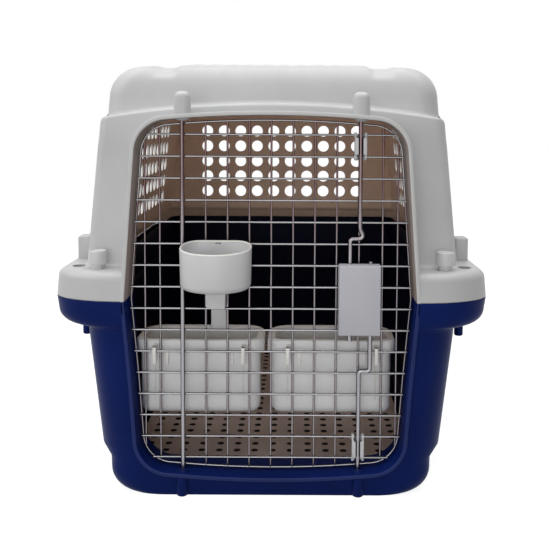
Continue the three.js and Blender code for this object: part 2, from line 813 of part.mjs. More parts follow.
function baseShell() {
  const gutterFloor = flangeBottom + wall;
  const rim = flangeSide(baseEdge, flangeBottom, 0)
    .subtract(flangeSide(baseEdge + overrun, gutterFloor, wall));
  const pockets = joined(fourWays(knobX, knobY).map(([x, y]) => post(
    x, y, boltPocketDiameter, flangeBottom - boltPocketDepth, flangeBottom,
  )));
  const pocketWalls = joined(fourWays(knobX, knobY).map(([x, y]) => post(
    x, y, boltPocketDiameter + 2 * wall, flangeBottom - boltPocketDepth - wall, flangeBottom,
  )));
  const body = baseBody(0, gutterFloor).subtract(pockets);
  const cavity = baseBody(wall, flangeBottom).subtract(pocketWalls);
  const lip = lipRing().intersect(below(baseEdge));
  const studs = joined(fourWays(clampX, clampY).map(([x, y]) => post(
    x, y, clampStudDiameter, flangeBottom - clampStudHeight, gutterFloor,
  )));
  const bosses = joined([-1, 1].map((side) => post(side * rodX, rodY, bottomBossDiameter, 0, doorwayBottomCornerHeight)));
  const bores = joined([-1, 1].map((side) => rodBore(side, bossRoofThickness, wireBottomRow)));
  const sillFront = -baseFootHalfY + wall / 2;
  const sillTop = doorwayBottom - running;
  const sill = block(-sillHalfX, sillHalfX, sillFront, sillFront + sillDepth, wall / 2, sillTop)
    .intersect(baseBody(0, gutterFloor));
  const sillHollow = block(
    -sillHalfX + wall, sillHalfX - wall, -baseFootHalfY + sillHollowSetBack, sillFront + sillDepth - wall, -overrun, sillTop - wall,
  );
  return rim.add(tongue(0, flangeBottom)).add(body)
    .subtract(cavity)
    .subtract(tongue(wall, flangeBottom - wall))
    .add(lip).add(bosses).add(sill).add(studs)
    .subtract(sillHollow)
    .subtract(doorwayCut)
    .subtract(bores)
    .subtract(flangeHoles());
}

// Floor mat: a plate on a skirt that stands in from its edge, notched round the sill

function floorMat() {
  const base = wall + running;
  const outline = (inset, bottom, top) => loft([bottom, top].map((z) => plan({
    z,
    halfX: matHalfX - inset,
    halfY: matHalfY - inset,
    cornerX: matCornerRadius - inset,
    cornerY: matCornerRadius - inset,
  })));
  const notchX = sillHalfX + matNotchGap;
  const notchBack = -baseFootHalfY + wall / 2 + sillDepth + matNotchGap;
  const notch = (grow) => block(-notchX - grow, notchX + grow, -crateLength, notchBack + grow, -overrun, matTop + overrun);
  const skirtInner = matSkirtInset + matSkirt;
  const skirt = outline(matSkirtInset, base, matTop - matThickness / 2)
    .subtract(notch(matSkirtInset))
    .subtract(outline(skirtInner, -overrun, matTop).subtract(notch(skirtInner)));
  return outline(0, matTop - matThickness, matTop)
    .subtract(notch(0))
    .add(skirt);
}

// Wire door: rows in front, uprights and the frame wire behind, all welded

function doorGrid() {
  const frame = doorwayOutline(-doorGap - wireDiameter / 2);
  const inFrame = doorwayOutline(-doorGap - wireDiameter);
  const route = frame.map((p) => new THREE.Vector3(p.x, uprightWireY, p.y));
  const wires = [tube(route, wireDiameter, wireSides, depthwise, true)];
  for (let row = 0; row < wireRowCount; row += 1) {
    const z = wireBottomRow + row * wirePitch;
    const reach = reachAtHeight(frame, z) + wireDiameter / 2;
    const ends = [new THREE.Vector3(-reach, rowWireY, z), new THREE.Vector3(reach, rowWireY, z)];
    wires.push(tube(ends, wireDiameter, wireSides, depthwise));
  }
  const places = [0, rodX - running];
  for (let i = 1; i <= innerUprightCount; i += 1) places.push(-i * wirePitch, i * wirePitch);
  for (const margin of outerUprightMargins) places.push(margin - doorwaySeamHalfX, doorwaySeamHalfX - margin);
  for (const x of places) {
    const [bottom, top] = spanAt(inFrame, x);
    const ends = [bottom - wireDiameter / 2, top + wireDiameter / 2];
    const line = ends.map((z) => new THREE.Vector3(x, uprightWireY, z));
    wires.push(tube(line, wireDiameter, wireSides, depthwise));
  }
  return joined(wires);
}

// Rods

function rod(points) {
  return tube(points.map(([x, z]) => new THREE.Vector3(x, rodY, z)), rodDiameter, rodSides, depthwise);
}

function upperLatchRod() {
  return rod([
    [rodX, latchRodTop],
    [rodX, upperCrankHeight + crankCornerRadius],
    [rodX - crankCornerRadius, upperCrankHeight],
    [upperRodJogX + crankCornerRadius, upperCrankHeight],
    [upperRodJogX, upperCrankHeight - crankCornerRadius],
    [upperRodJogX, upperStubEnd],
  ]);
}

function lowerLatchRod() {
  return rod([
    [rodX, latchRodBottom],
    [rodX, lowerCrankHeight - crankCornerRadius],
    [rodX + crankCornerRadius, lowerCrankHeight],
    [lowerRodJogX - crankCornerRadius, lowerCrankHeight],
    [lowerRodJogX, lowerCrankHeight + crankCornerRadius],
    [lowerRodJogX, lowerStubEnd],
  ]);
}

// Latch case, its back plate, screws, brackets and springs

const springY = caseFront + caseWall + springDiameter / 2 + running;
const upperSpringX = upperRodJogX + springDiameter + running;
const lowerSpringX = lowerRodJogX - springDiameter - running;
const screwPlaces = [
  [caseLeft + screwPostDiameter / 2 + running, upperBracketHeight + 4 * bracketThickness],
  [caseRight - screwPostDiameter / 2 - running, upperBracketHeight - 3 * bracketThickness],
];

function latchCase() {
  const outer = block(caseLeft, caseRight, caseFront, caseBack, caseBottom, caseTop);
  const inner = block(
    caseLeft + caseWall, caseRight - caseWall, caseFront + caseWall, caseBack + overrun, caseBottom + caseWall, caseTop - caseWall,
  );
  const slot = rodDiameter / 2 + running;
  const slots = [upperRodJogX, lowerRodJogX].map((x) => block(
    x - slot, x + slot, rodY - slot, caseBack + overrun, caseBottom - overrun, caseTop + overrun,
  ));
  const posts = screwPlaces.map(([x, z]) => {
    const length = caseBack - caseFront - caseWall / 2;
    const geometry = new THREE.CylinderGeometry(screwPostDiameter / 2, screwPostDiameter / 2, length, bossSides);
    return solid(geometry.translate(x, caseBack - length / 2, z));
  });
  const holes = screwPlaces.map(([x, z]) => {
    const length = caseBack - caseFront - caseWall;
    const diameter = latchScrewDiameter + 2 * running;
    const geometry = new THREE.CylinderGeometry(diameter / 2, diameter / 2, length + overrun, bossSides);
    return solid(geometry.translate(x, caseBack + overrun - (length + overrun) / 2, z));
  });
  return outer.subtract(inner).add(joined(posts)).subtract(joined([...slots, ...holes]));
}

function latchBackPlate() {
  const front = uprightWireBack + running;
  const plate = block(caseLeft, caseRight, front, front + backPlateThickness, caseBottom, caseTop);
  const holes = screwPlaces.map(([x, z]) => {
    const diameter = latchScrewDiameter + 2 * running;
    const geometry = new THREE.CylinderGeometry(diameter / 2, diameter / 2, backPlateThickness + 2 * overrun, bossSides);
    return solid(geometry.translate(x, front, z));
  });
  return plate.subtract(joined(holes));
}

function latchScrew([x, z]) {
  const seat = uprightWireBack + running + backPlateThickness + running;
  const tip = caseFront + caseWall + 2 * running;
  const profile = [
    [0, tip],
    [latchScrewDiameter / 2, tip],
    [latchScrewDiameter / 2, seat],
    [latchScrewHeadDiameter / 2, seat],
    [latchScrewHeadDiameter / 2, seat + latchScrewHeadHeight],
    [0, seat + latchScrewHeadHeight],
  ];
  const points = profile.map(([radius, y]) => new THREE.Vector2(radius, y));
  return solid(new THREE.LatheGeometry(points, rodSides).translate(x, 0, z));
}

// A bracket grips its rod and reaches forward over its spring
function rodBracket(rodPlace, springPlace, z) {
  const side = Math.sign(springPlace - rodPlace);
  const near = rodPlace - side * (rodDiameter / 2 + caseWall);
  const far = near + side * bracketWidth;
  const slot = rodDiameter / 2 + running;
  const body = block(
    Math.min(near, far), Math.max(near, far), caseFront + caseWall + running, rodY + rodDiameter / 2, z, z + bracketThickness,
  );
  const notch = block(rodPlace - slot, rodPlace + slot, rodY - slot, rodY + overrun, z - overrun, z + overrun);
  return body.subtract(notch);
}

function latchSpring(x, bottom, top) {
  const steps = springTurns * springStepsPerTurn;
  const radius = (springDiameter - springWire) / 2;
  const low = bottom + springWire / 2;
  const high = top - springWire / 2;
  const route = Array.from({ length: steps + 1 }, (_, i) => {
    const angle = i / springStepsPerTurn * Math.PI * 2;
    return new THREE.Vector3(
      x + radius * Math.cos(angle),
      springY + radius * Math.sin(angle),
      THREE.MathUtils.lerp(low, high, i / steps),
    );
  });
  return tube(route, springWire, springSides, () => new THREE.Vector3(0, 0, 1));
}

// Rod guide: a saddle over the rod with two feet that hook over the wires
function rodGuide(z) {
  const back = rowWireFront - running;
  const front = back - guideDepth;
  const bore = rodDiameter / 2 + running;
  const saddle = block(
    rodX - guideWidth / 2, rodX + guideWidth / 2, front, back, z - guideHeight / 2 + guideHookThickness, z + guideHeight / 2 - guideHookThickness,
  );
  const channel = block(rodX - bore, rodX + bore, rodY - bore, back + overrun, z - guideHeight, z + guideHeight);
  const hooks = [];
  for (const side of [-1, 1]) {
    const middle = rodX + side * (guideWidth / 2 - guideHookWidth / 2);
    const left = middle - guideHookWidth / 2;
    const right = middle + guideHookWidth / 2;
    const inFront = z + guideHeight / 2 - guideHookThickness;
    const over = Math.round((inFront - wireBottomRow) / wirePitch) * wirePitch + wireBottomRow + wireDiameter / 2 + running;
    hooks.push(block(left, right, back - guideHookThickness, back, inFront - overrun, over + guideHookThickness));
    hooks.push(block(left, right, back - guideHookThickness, uprightWireBack + guideHookThickness, over, over + guideHookThickness));
  }
  return saddle.subtract(channel).add(joined(hooks));
}

// Bowls

function bowlPlan(z, x, halfX, front, back, frontRadius, backRadius) {
  return plan({
    x,
    y: (front + back) / 2,
    z,
    halfX,
    halfY: (back - front) / 2,
    cornerX: frontRadius,
    cornerY: frontRadius,
    backX: backRadius,
    backY: backRadius,
  });
}

function bowlBodyPlan(z, x, inset) {
  return bowlPlan(
    z,
    x,
    bowlRimWidth / 2 - bowlBodyInset - inset,
    bowlFront + bowlBodyFrontInset + inset,
    bowlBack - bowlBodyBackInset - inset,
    Math.max(bowlFrontCornerRadius - inset, wall),
    bowlBackCornerRadius - inset,
  );
}

function bowlRimPlan(z, x, inset) {
  return bowlPlan(
    z,
    x,
    bowlRimWidth / 2 - inset,
    bowlFront + inset,
    bowlBack - inset,
    bowlFrontCornerRadius - inset,
    bowlBackCornerRadius - inset,
  );
}

function bowlVessel(x, inset, top) {
  const radius = bowlFootRadius - inset;
  const outlines = [];
  for (let step = 0; step <= edgeSteps; step += 1) {
    const angle = step / edgeSteps * Math.PI / 2;
    const z = bowlBottom + inset + radius * (1 - Math.cos(angle));
    outlines.push(bowlBodyPlan(z, x, inset + radius * (1 - Math.sin(angle))));
  }
  outlines.push(bowlBodyPlan(top, x, inset));
  return loft(outlines);
}

// A hook rises from the rim's tab, crosses over its wire and hangs down in front
function bowlHook(x) {
  const over = hookWireHeight + wireDiameter / 2 + running;
  const back = bowlFront + hookThickness;
  const front = rowWireFront - running - hookThickness;
  const shape = new THREE.Shape();
  shape.moveTo(back, bowlRimTop - bowlRimHeight / 2);
  shape.lineTo(back, tabTop);
  shape.lineTo(front, tabTop);
  shape.lineTo(front, tabTop - hookReach - hookThickness);
  shape.lineTo(front + hookThickness, tabTop - hookReach - hookThickness);
  shape.lineTo(front + hookThickness, over);
  shape.lineTo(bowlFront, over);
  shape.lineTo(bowlFront, bowlRimTop - bowlRimHeight / 2);
  return alongX(shape, x - hookWidth / 2, x + hookWidth / 2);
}

// The rim's tab, with sloped ends; grown, it is the notch that the lid leaves for it
function bowlTab(x, side, grow, top) {
  const outer = x + side * (hookOffset + hookWidth / 2 + grow);
  const inner = outer - side * (tabWidth + 2 * grow);
  const shape = new THREE.Shape();
  shape.moveTo(outer + side * tabSlope, bowlRimTop - bowlRimHeight / 2);
  shape.lineTo(outer, top);
  shape.lineTo(inner, top);
  shape.lineTo(inner - side * tabSlope, bowlRimTop - bowlRimHeight / 2);
  const grip = grow > 0 ? overrun : 0;
  return alongY(shape, bowlFront - grip, bowlFront + hookThickness + grow);
}

// Short ribs keep the bowl off the wires
function bowlRib(x, side) {
  const middle = x + side * ribOffset;
  const top = bowlRimBottom;
  const half = ribWidth / 2;
  const shape = new THREE.Shape();
  shape.moveTo(middle - half, top);
  shape.lineTo(middle - half * ribTaperShare, top - ribLength);
  shape.lineTo(middle + half * ribTaperShare, top - ribLength);
  shape.lineTo(middle + half, top);
  return alongY(shape, bowlFront, bowlFront + bowlBodyFrontInset + bowlWall / 2);
}

function bowl(x) {
  const rim = loft([bowlRimBottom, bowlRimTop].map((z) => bowlRimPlan(z, x, 0)));
  const extras = [-1, 1].flatMap((side) => [bowlTab(x, side, 0, tabTop), bowlHook(x + side * hookOffset), bowlRib(x, side)]);
  return bowlVessel(x, 0, bowlRimTop).add(rim)
    .subtract(bowlVessel(x, bowlWall, bowlRimTop + overrun))
    .add(joined(extras));
}

function bowlLid(x) {
  const seat = bowlRimTop + running;
  const collarOuter = bowlWall + running;
  const collarInner = collarOuter + lidCollarThickness;
  const shell = loft([seat, lidTop - lidPlate / 2, lidTop].map((z, i) => bowlRimPlan(z, x, i === 2 ? lidPlate / 2 : 0)));
  const hollow = loft([seat - overrun, lidTop - lidPlate].map((z) => bowlRimPlan(z, x, bowlWall)));
  const collar = loft([seat - lidCollarDrop + lidPlate, lidTop - lidPlate / 2].map((z) => bowlBodyPlan(z, x, collarOuter)));
  const mouth = loft([bowlBottom, lidTop + overrun].map((z) => bowlBodyPlan(z, x, collarInner)));
  const notches = joined([-1, 1].map((side) => bowlTab(x, side, running, tabTop + running)));
  return shell.subtract(hollow).add(collar).subtract(mouth).subtract(notches);
}

// Water funnel

function cupPlan(z, inset) {
  return bowlPlan(
    z,
    (cupLeft + cupRight) / 2,
    (cupRight - cupLeft) / 2 - inset,
    cupFront + inset,
    caseBack - Math.min(inset, cupWall),
    cupFrontCornerRadius - Math.min(inset, cupFrontCornerRadius / 2),
    cupBackCornerRadius - Math.min(inset, cupBackCornerRadius / 2),
  );
}

function cup(inset, top) {
  const radius = cupFootRadius - inset;
  const outlines = [];
  for (let step = 0; step <= edgeSteps; step += 1) {
    const angle = step / edgeSteps * Math.PI / 2;
    const turn = radius * (1 - Math.sin(angle));
    outlines.push(cupPlan(cupFloor + inset + radius * (1 - Math.cos(angle)), inset + cupTaper + turn));
  }
  outlines.push(cupPlan(top, inset));
  return loft(outlines);
}

function funnel() {
  const back = caseBack;
  const rimCut = new THREE.Shape();
  rimCut.moveTo(cupFront - overrun, cupFrontRim);
  rimCut.lineTo(back + overrun, cupBackRim);
  rimCut.lineTo(back + overrun, cupBackRim + crateLength);
  rimCut.lineTo(cupFront - overrun, cupBackRim + crateLength);
  const spoutBack = spoutFront + spoutDepth;
  const level = (z, x, width, front, rear) => [
    new THREE.Vector3(x - width / 2, front, z),
    new THREE.Vector3(x + width / 2, front, z),
    new THREE.Vector3(x + width / 2, rear, z),
    new THREE.Vector3(x - width / 2, rear, z),
  ];
  const neck = loft([
    level(neckLipBottom, neckX, neckWidth, neckFront, back),
    level(cupFloor + cupWall, neckX, neckTopWidth, neckFront, back),
  ]);
  const bridgeTop = neckBottom + funnelBoreDepth + 2 * cupWall;
  const bridge = block(neckX - spoutWidth / 2, neckX + spoutWidth / 2, neckFront + cupWall, spoutBack, neckBottom, bridgeTop);
  const spout = block(neckX - spoutWidth / 2, neckX + spoutWidth / 2, spoutFront, spoutBack, spoutBottom, bridgeTop);
  const boreHalf = funnelBoreWidth / 2;
  const inlet = block(
    neckX - boreHalf, neckX + boreHalf, neckFront + 2 * cupWall, back - cupWall, neckBottom + cupWall, cupFloor + cupFootRadius,
  );
  const passage = block(
    neckX - boreHalf, neckX + boreHalf, neckFront + 2 * cupWall, spoutBack - cupWall, neckBottom + cupWall, bridgeTop - cupWall,
  );
  const outlet = block(
    neckX - boreHalf, neckX + boreHalf, spoutFront + cupWall, spoutBack - cupWall, spoutBottom - overrun, bridgeTop - cupWall,
  );
  return cup(0, cupBackRim + overrun)
    .subtract(cup(cupWall, cupBackRim + 2 * overrun))
    .subtract(alongX(rimCut, cupLeft - overrun, cupRight + overrun))
    .add(neck).add(bridge).add(spout)
    .subtract(inlet).subtract(passage).subtract(outlet);
}

// Fasteners

function knob(x, y) {
  const seat = flangeTop + running;
  const radius = knobDiameter / 2;
  const bore = boltDiameter / 2 + running;
  const ceiling = knobTop - wall;
  return turned([
    [bore, seat],
    [knobNeckDiameter / 2, seat],
    [knobNeckDiameter / 2, knobBodyBottom],
    [radius, knobBodyBottom],
    [radius, knobTop],
    [radius - wall / 2, knobTop],
    [radius - wall, knobTop - knobDish],
    [0, knobTop - knobDish],
    [0, ceiling - knobDish],
    [bore, ceiling - knobDish],
    [bore, seat],
  ], x, y);
}

function bolt(x, y) {
  const seat = flangeBottom - running;
  const radius = boltDiameter / 2;
  return turned([
    [0, seat - boltHeadHeight],
    [boltHeadDiameter / 2 - knobDish, seat - boltHeadHeight],
    [boltHeadDiameter / 2, seat - boltHeadHeight + knobDish],
    [boltHeadDiameter / 2, seat],
    [radius, seat],
    [radius, knobTop - 2 * wall],
    [0, knobTop - 2 * wall],
  ], x, y, bossSides);
}

function clampPost(x, y) {
  const shape = new THREE.Shape();
  const halfX = clampWidth / 2 - clampEdge;
  const halfY = clampLength / 2 - clampEdge;
  shape.moveTo(x - halfX, y - halfY);
  shape.lineTo(x + halfX, y - halfY);
  shape.lineTo(x + halfX, y + halfY);
  shape.lineTo(x - halfX, y + halfY);
  const seat = flangeTop + running;
  const geometry = new THREE.ExtrudeGeometry(shape, {
    depth: clampHeight - 2 * clampEdge,
    bevelThickness: clampEdge,
    bevelSize: clampEdge,
    bevelSegments: 2,
  });
  return solid(geometry.translate(0, 0, seat + clampEdge));
}

// Finishes and the assembly

const finish = {
  lightPlastic: new THREE.MeshStandardMaterial({ color: 0xb9b9ba, roughness: 0.45, metalness: 0 }),
  navyPlastic: new THREE.MeshStandardMaterial({ color: 0x142254, roughness: 0.4, metalness: 0 }),
  taupePlastic: new THREE.MeshStandardMaterial({ color: 0x7d706a, roughness: 0.6, metalness: 0 }),
  whitePlastic: new THREE.MeshStandardMaterial({ color: 0xbebebc, roughness: 0.5, metalness: 0 }),
  steel: new THREE.MeshStandardMaterial({ color: 0xb4b4b8, roughness: 0.25, metalness: 1 }),
};

const crate = new THREE.Group();

function place(name, body, material) {
  const mesh = new THREE.Mesh(geometryOf(body), material);
  mesh.name = name;
  crate.add(mesh);
}

place('base_shell', baseShell(), finish.navyPlastic);
place('top_shell', topShell(), finish.lightPlastic);
place('floor_mat', floorMat(), finish.taupePlastic);
place('door_grid', doorGrid(), finish.steel);
place('hinge_rod', rod([[-rodX, hingeRodBottom], [-rodX, hingeRodTop]]), finish.steel);
place('upper_latch_rod', upperLatchRod(), finish.steel);
place('lower_latch_rod', lowerLatchRod(), finish.steel);
place('latch_case', latchCase(), finish.whitePlastic);
place('latch_back_plate', latchBackPlate(), finish.whitePlastic);
place('upper_latch_screw', latchScrew(screwPlaces[0]), finish.steel);
place('lower_latch_screw', latchScrew(screwPlaces[1]), finish.steel);
place('upper_rod_bracket', rodBracket(upperRodJogX, upperSpringX, upperBracketHeight), finish.whitePlastic);
place('lower_rod_bracket', rodBracket(lowerRodJogX, lowerSpringX, lowerBracketHeight), finish.whitePlastic);
place(
  'upper_latch_spring',
  latchSpring(upperSpringX, caseBottom + caseWall + running, upperBracketHeight - running),
  finish.steel,
);
place(
  'lower_latch_spring',
  latchSpring(lowerSpringX, lowerBracketHeight + bracketThickness + running, caseTop - caseWall - running),
  finish.steel,
);
place('upper_rod_guide', rodGuide(upperGuideHeight), finish.whitePlastic);
place('lower_rod_guide', rodGuide(lowerGuideHeight), finish.whitePlastic);

const bowlPlaces = { left: bowlMiddleX - bowlPitch / 2, right: bowlMiddleX + bowlPitch / 2 };
for (const [side, x] of Object.entries(bowlPlaces)) {
  place(`${side}_bowl`, bowl(x), finish.whitePlastic);
  place(`${side}_bowl_lid`, bowlLid(x), finish.whitePlastic);
}
place('water_funnel', funnel(), finish.whitePlastic);

const cornerNames = ['back_right', 'back_left', 'front_left', 'front_right'];
fourWays(knobX, knobY).forEach(([x, y], i) => {
  place(`${cornerNames[i]}_knob`, knob(x, y), finish.whitePlastic);
  place(`${cornerNames[i]}_bolt`, bolt(x, y), finish.whitePlastic);
});
fourWays(clampX, clampY).forEach(([x, y], i) => {
  place(`${cornerNames[i]}_clamp_post`, clampPost(x, y), finish.lightPlastic);
});

export default crate;
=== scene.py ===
# A pet travel crate seen from the front: light upper shell, navy lower shell, wire door with
# its latch, two hanging bowls and a water funnel. Sizes are millimetres until a piece is
# finished, X across, Y from the door to the back, Z up.

from math import atan2, cos, hypot, pi, radians, sin

import bmesh
import bpy
from mathutils import Matrix, Vector


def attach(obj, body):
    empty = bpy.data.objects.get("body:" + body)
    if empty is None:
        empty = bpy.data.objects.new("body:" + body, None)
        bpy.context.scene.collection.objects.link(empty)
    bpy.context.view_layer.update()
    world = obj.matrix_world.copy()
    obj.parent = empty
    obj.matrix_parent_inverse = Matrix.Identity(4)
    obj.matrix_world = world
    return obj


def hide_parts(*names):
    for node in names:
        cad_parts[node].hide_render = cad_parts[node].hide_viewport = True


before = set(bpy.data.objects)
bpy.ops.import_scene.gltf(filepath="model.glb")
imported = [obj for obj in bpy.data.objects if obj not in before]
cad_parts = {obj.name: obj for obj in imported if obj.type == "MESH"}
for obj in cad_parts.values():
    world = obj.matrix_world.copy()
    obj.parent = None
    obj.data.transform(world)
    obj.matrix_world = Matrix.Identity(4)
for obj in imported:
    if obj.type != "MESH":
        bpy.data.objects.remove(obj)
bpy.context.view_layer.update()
MM = 0.001


# Upper shell: one light grey moulding, about 3 mm thick. A rim with wide corners carries leaning
# walls, a front and a back panel with arched tops, and a crowned roof with two grooves. The
# walls and the back have round vents. The inside, seen through the door, is painted warm brown
# with a faint glow: painted shade and light for the inside of the light shell.
SHELL_WALL = 3.0
SEAM = 226.0
SEAM_GAP = 0.35
SEAM_BEVEL = 0.7
SEAM_BEVEL_HEIGHT = 1.2
FLANGE_HALF_X = 253.0
FLANGE_HALF_Y = 350.0
FLANGE_CORNER = (82.0, 46.0)
FLANGE_TOP = 258.5
FLANGE_EDGE = 10.0
FLANGE_DRAFT = 2.0
BODY_FOOT_X = 220.5
BODY_FOOT_FILLET = ((6.0, 258.5), (4.0, 258.7), (2.2, 259.5), (0.8, 261.1), (0.0, 263.5))
BODY_SHOULDER_X = 201.5
SHOULDER = 457.0
PANEL_Y = 304.0
PANEL_PROUD = 2.5
PANEL_CROWN = 451.0
PANEL_FALL = 5.5 / 115.0**2
PANEL_CORNER = 9.0
PANEL_FOOT_CORNER = 12.0
PANEL_FOOT_TOP = 400.0
PANEL_BLEND = (236.0, 262.0)
PANEL_EDGE_CORNER = 14.0
PANEL_EDGE = ((428, 304, -16), (436, 304, -4), (439, 303.7, -2), (442, 302.6, -0.7), (444, 301, -0.1))
PANEL_LEDGE = ((447, 286, 0.2, 24), (449, 282.5, 1, 26), (452, 280.5, 3, 26), (454, 280, 5, 26))
ROOF_Y = 280.0
ROOF_CORNER = 26.0
ROOF_RISE = 40.0
ROOF_INSET = (36.0, 24.0)
ROOF_END_ANGLE = radians(80)
ROOF_EDGE_STEPS = 10
ROOF_CROWN = 15.0
ROOF_CROWN_STEPS = 40
GROOVE = (119.0, 141.0)
GROOVE_SINK = 3.0
GROOVE_SINK_REACH = 2.5
GROOVE_OUTER_EASE = 3.0
GROOVE_SLOPE = 12.0 / 9.0
GROOVE_ENDS = 495.0
GROOVE_MIDDLE = 508.5
RIB_PITCH = 23.0
RIB_RISE = 0.7
UPPER_ACROSS = 96
ALONG = 12
CORNER_STEPS = 12
DOORWAY_SEAM_X = 165.0
DOORWAY_BEND_X = 157.0
DOORWAY_RADIUS = 38.0
DOORWAY_STEPS = 10
LIP_SECTION = [(0, -301), (0, -348.6), (0.4, -349.6), (1.4, -350),
               (3.6, -350), (4.6, -349.6), (5, -348.6), (5, -301)]
LIP_THICKNESS = 5.0
LIP_EDGE_Y = -349.2
VENT_RADIUS = 10.7
VENT_ROWS = [293 + 29.5 * row for row in range(5)]
BACK_VENTS = [32.5 * (column - 4.5) for column in range(10)]
SIDE_VENTS = [30.0 * (column - 6) for column in range(13)]
TIE_HOLE_PLACE = (228.0, 304.0)
TIE_HOLE_RADIUS = 7.7
ROD_X = 101.0
ROD_Y = -336.0
WORK_SLOTS = 3


def linear(red, green, blue):
    """A colour as it looks on a screen, in parts of 255, as light."""
    parts = [part / 255 for part in (red, green, blue)]
    return (*[p / 12.92 if p < 0.04045 else ((p + 0.055) / 1.055) ** 2.4 for p in parts], 1)


def moulded_plastic(name, dark, light, roughness, grain=0.5, relief=0.05, specular=0.5, glow=0.0):
    """Fine-grained plastic, a little cloudy; glow is painted light, a faint emission that stands in for the
    daylight that a thin wall lets through.
    """
    material = bpy.data.materials.new(name)
    material.use_nodes = True
    nodes, links = material.node_tree.nodes, material.node_tree.links
    shader = nodes["Principled BSDF"]
    shader.inputs["Roughness"].default_value = roughness
    shader.inputs["Specular IOR Level"].default_value = specular
    place = nodes.new("ShaderNodeTexCoord")
    cloud = nodes.new("ShaderNodeTexNoise")
    cloud.inputs["Scale"].default_value = 1 / (60 * MM)
    cloud.inputs["Detail"].default_value = 3
    colours = nodes.new("ShaderNodeValToRGB")
    colours.color_ramp.elements[0].position = 0.3
    colours.color_ramp.elements[0].color = linear(*dark)
    colours.color_ramp.elements[1].position = 0.7
    colours.color_ramp.elements[1].color = linear(*light)
    pores = nodes.new("ShaderNodeTexNoise")
    pores.inputs["Scale"].default_value = 1 / (grain * MM)
    bump = nodes.new("ShaderNodeBump")
    bump.inputs["Strength"].default_value = relief
    bump.inputs["Distance"].default_value = grain * MM
    links.new(place.outputs["Object"], cloud.inputs["Vector"])
    links.new(cloud.outputs["Fac"], colours.inputs["Fac"])
    links.new(colours.outputs["Color"], shader.inputs["Base Color"])
    if glow:
        links.new(colours.outputs["Color"], shader.inputs["Emission Color"])
        shader.inputs["Emission Strength"].default_value = glow
    links.new(place.outputs["Object"], pores.inputs["Vector"])
    links.new(pores.outputs["Fac"], bump.inputs["Height"])
    links.new(bump.outputs["Normal"], shader.inputs["Normal"])
    return material


def smooth_step(low, high, value):
    share = min(max((value - low) / (high - low), 0), 1)
    return share * share * (3 - 2 * share)


def quarter_round(steps=8):
    """Shares of a rounding's two reaches, from one face round to the other."""
    angles = [step / steps * pi / 2 for step in range(steps + 1)]
    return [(1 - sin(angle), 1 - cos(angle)) for angle in angles]


def stretch(start, end, pieces):
    """The points between two points that part the way in equal pieces."""
    return [start.lerp(end, i / pieces) for i in range(1, pieces)]


def rounded(half_x, half_y, corner_x, corner_y, height, across=1, along=1, steps=CORNER_STEPS,
            back=None, middle=(0.0, 0.0)):
    """A ring round a rounded rectangle, from its right side round by the back."""
    points = []
    for quarter, (side_x, side_y) in enumerate(((1, 1), (-1, 1), (-1, -1), (1, -1))):
        reach_x, reach_y = back if back and side_y > 0 else (corner_x, corner_y)
        corner = []
        for step in range(steps + 1):
            angle = (quarter + step / steps) * pi / 2
            x = middle[0] + side_x * (half_x - reach_x) + reach_x * cos(angle)
            y = middle[1] + side_y * (half_y - reach_y) + reach_y * sin(angle)
            corner.append(Vector((x, y, height)))
        if points:
            points += stretch(points[-1], corner[0], along if quarter % 2 == 0 else across)
        points += corner
    return points + stretch(points[-1], points[0], along)


def outwards(bm):
    """Turns all faces of closed shapes outwards."""
    bmesh.ops.recalc_face_normals(bm, faces=bm.faces)


def edges_round(bm, loop):
    return [bm.edges.get((a, b)) for a, b in zip(loop, loop[1:] + loop[:1])]


def skin(bm, rings, closed=True, joined=False):
    """Draws a skin through rings of points, each extruded out of the last; joined makes a tube ring."""
    circle = bmesh.ops.create_circle(bm, segments=len(rings[0]), radius=1)["verts"]
    first = sorted(circle, key=lambda vert: atan2(vert.co.y, vert.co.x))
    loop = first
    for vert, point in zip(loop, rings[0]):
        vert.co = point
    for ring in rings[1:] + (rings[:1] if joined else []):
        made = bmesh.ops.extrude_edge_only(bm, edges=edges_round(bm, loop))["geom"]
        fresh = {item for item in made if isinstance(item, bmesh.types.BMVert)}
        loop = [next(e.other_vert(v) for e in v.link_edges if e.other_vert(v) in fresh) for v in loop]
        for vert, point in zip(loop, ring):
            vert.co = point
    if joined:
        bmesh.ops.remove_doubles(bm, verts=first + loop, dist=0.001)
    elif closed:
        for end in (first, loop):
            bmesh.ops.contextual_create(bm, geom=end + edges_round(bm, end))


def turned(bm, profile, x, y, steps=32):
    """A piece turned about an upright axis from a profile of radii and heights."""
    rings = []
    for radius, height in profile:
        angles = [2 * pi * step / steps for step in range(steps)]
        rings.append([Vector((x + radius * cos(a), y + radius * sin(a), height)) for a in angles])
    skin(bm, rings)


def peg(bm, start, end, radius, segments=24):
    """A plain round bar between two points."""
    start, end = Vector(start), Vector(end)
    turn = (end - start).to_track_quat("Z", "Y").to_matrix().to_4x4()
    place = Matrix.Translation((start + end) / 2) @ turn
    bmesh.ops.create_cone(bm, cap_ends=True, segments=segments, radius1=radius, radius2=radius,
                          depth=(end - start).length, matrix=place)


def block(bm, low, high, edge=0.0, segments=3):
    """A rectangular block with rounded edges."""
    low, high = Vector(low), Vector(high)
    place = Matrix.Translation((low + high) / 2) @ Matrix.Diagonal((*(high - low), 1))
    verts = bmesh.ops.create_cube(bm, size=1, matrix=place)["verts"]
    if edge:
        edges = list({e for v in verts for e in v.link_edges})
        bmesh.ops.bevel(bm, geom=edges, offset=edge, offset_type="OFFSET", segments=segments,
                        profile=0.5, affect="EDGES", material=-1)


def passing_object(name, bm):
    """An object for Blender's modifiers, whose empty slots let the faces keep their materials."""
    mesh = bpy.data.meshes.new(name)
    bm.to_mesh(mesh)
    for slot in range(WORK_SLOTS):
        mesh.materials.append(None)
    passing = bpy.data.objects.new(name, mesh)
    bpy.context.scene.collection.objects.link(passing)
    return passing


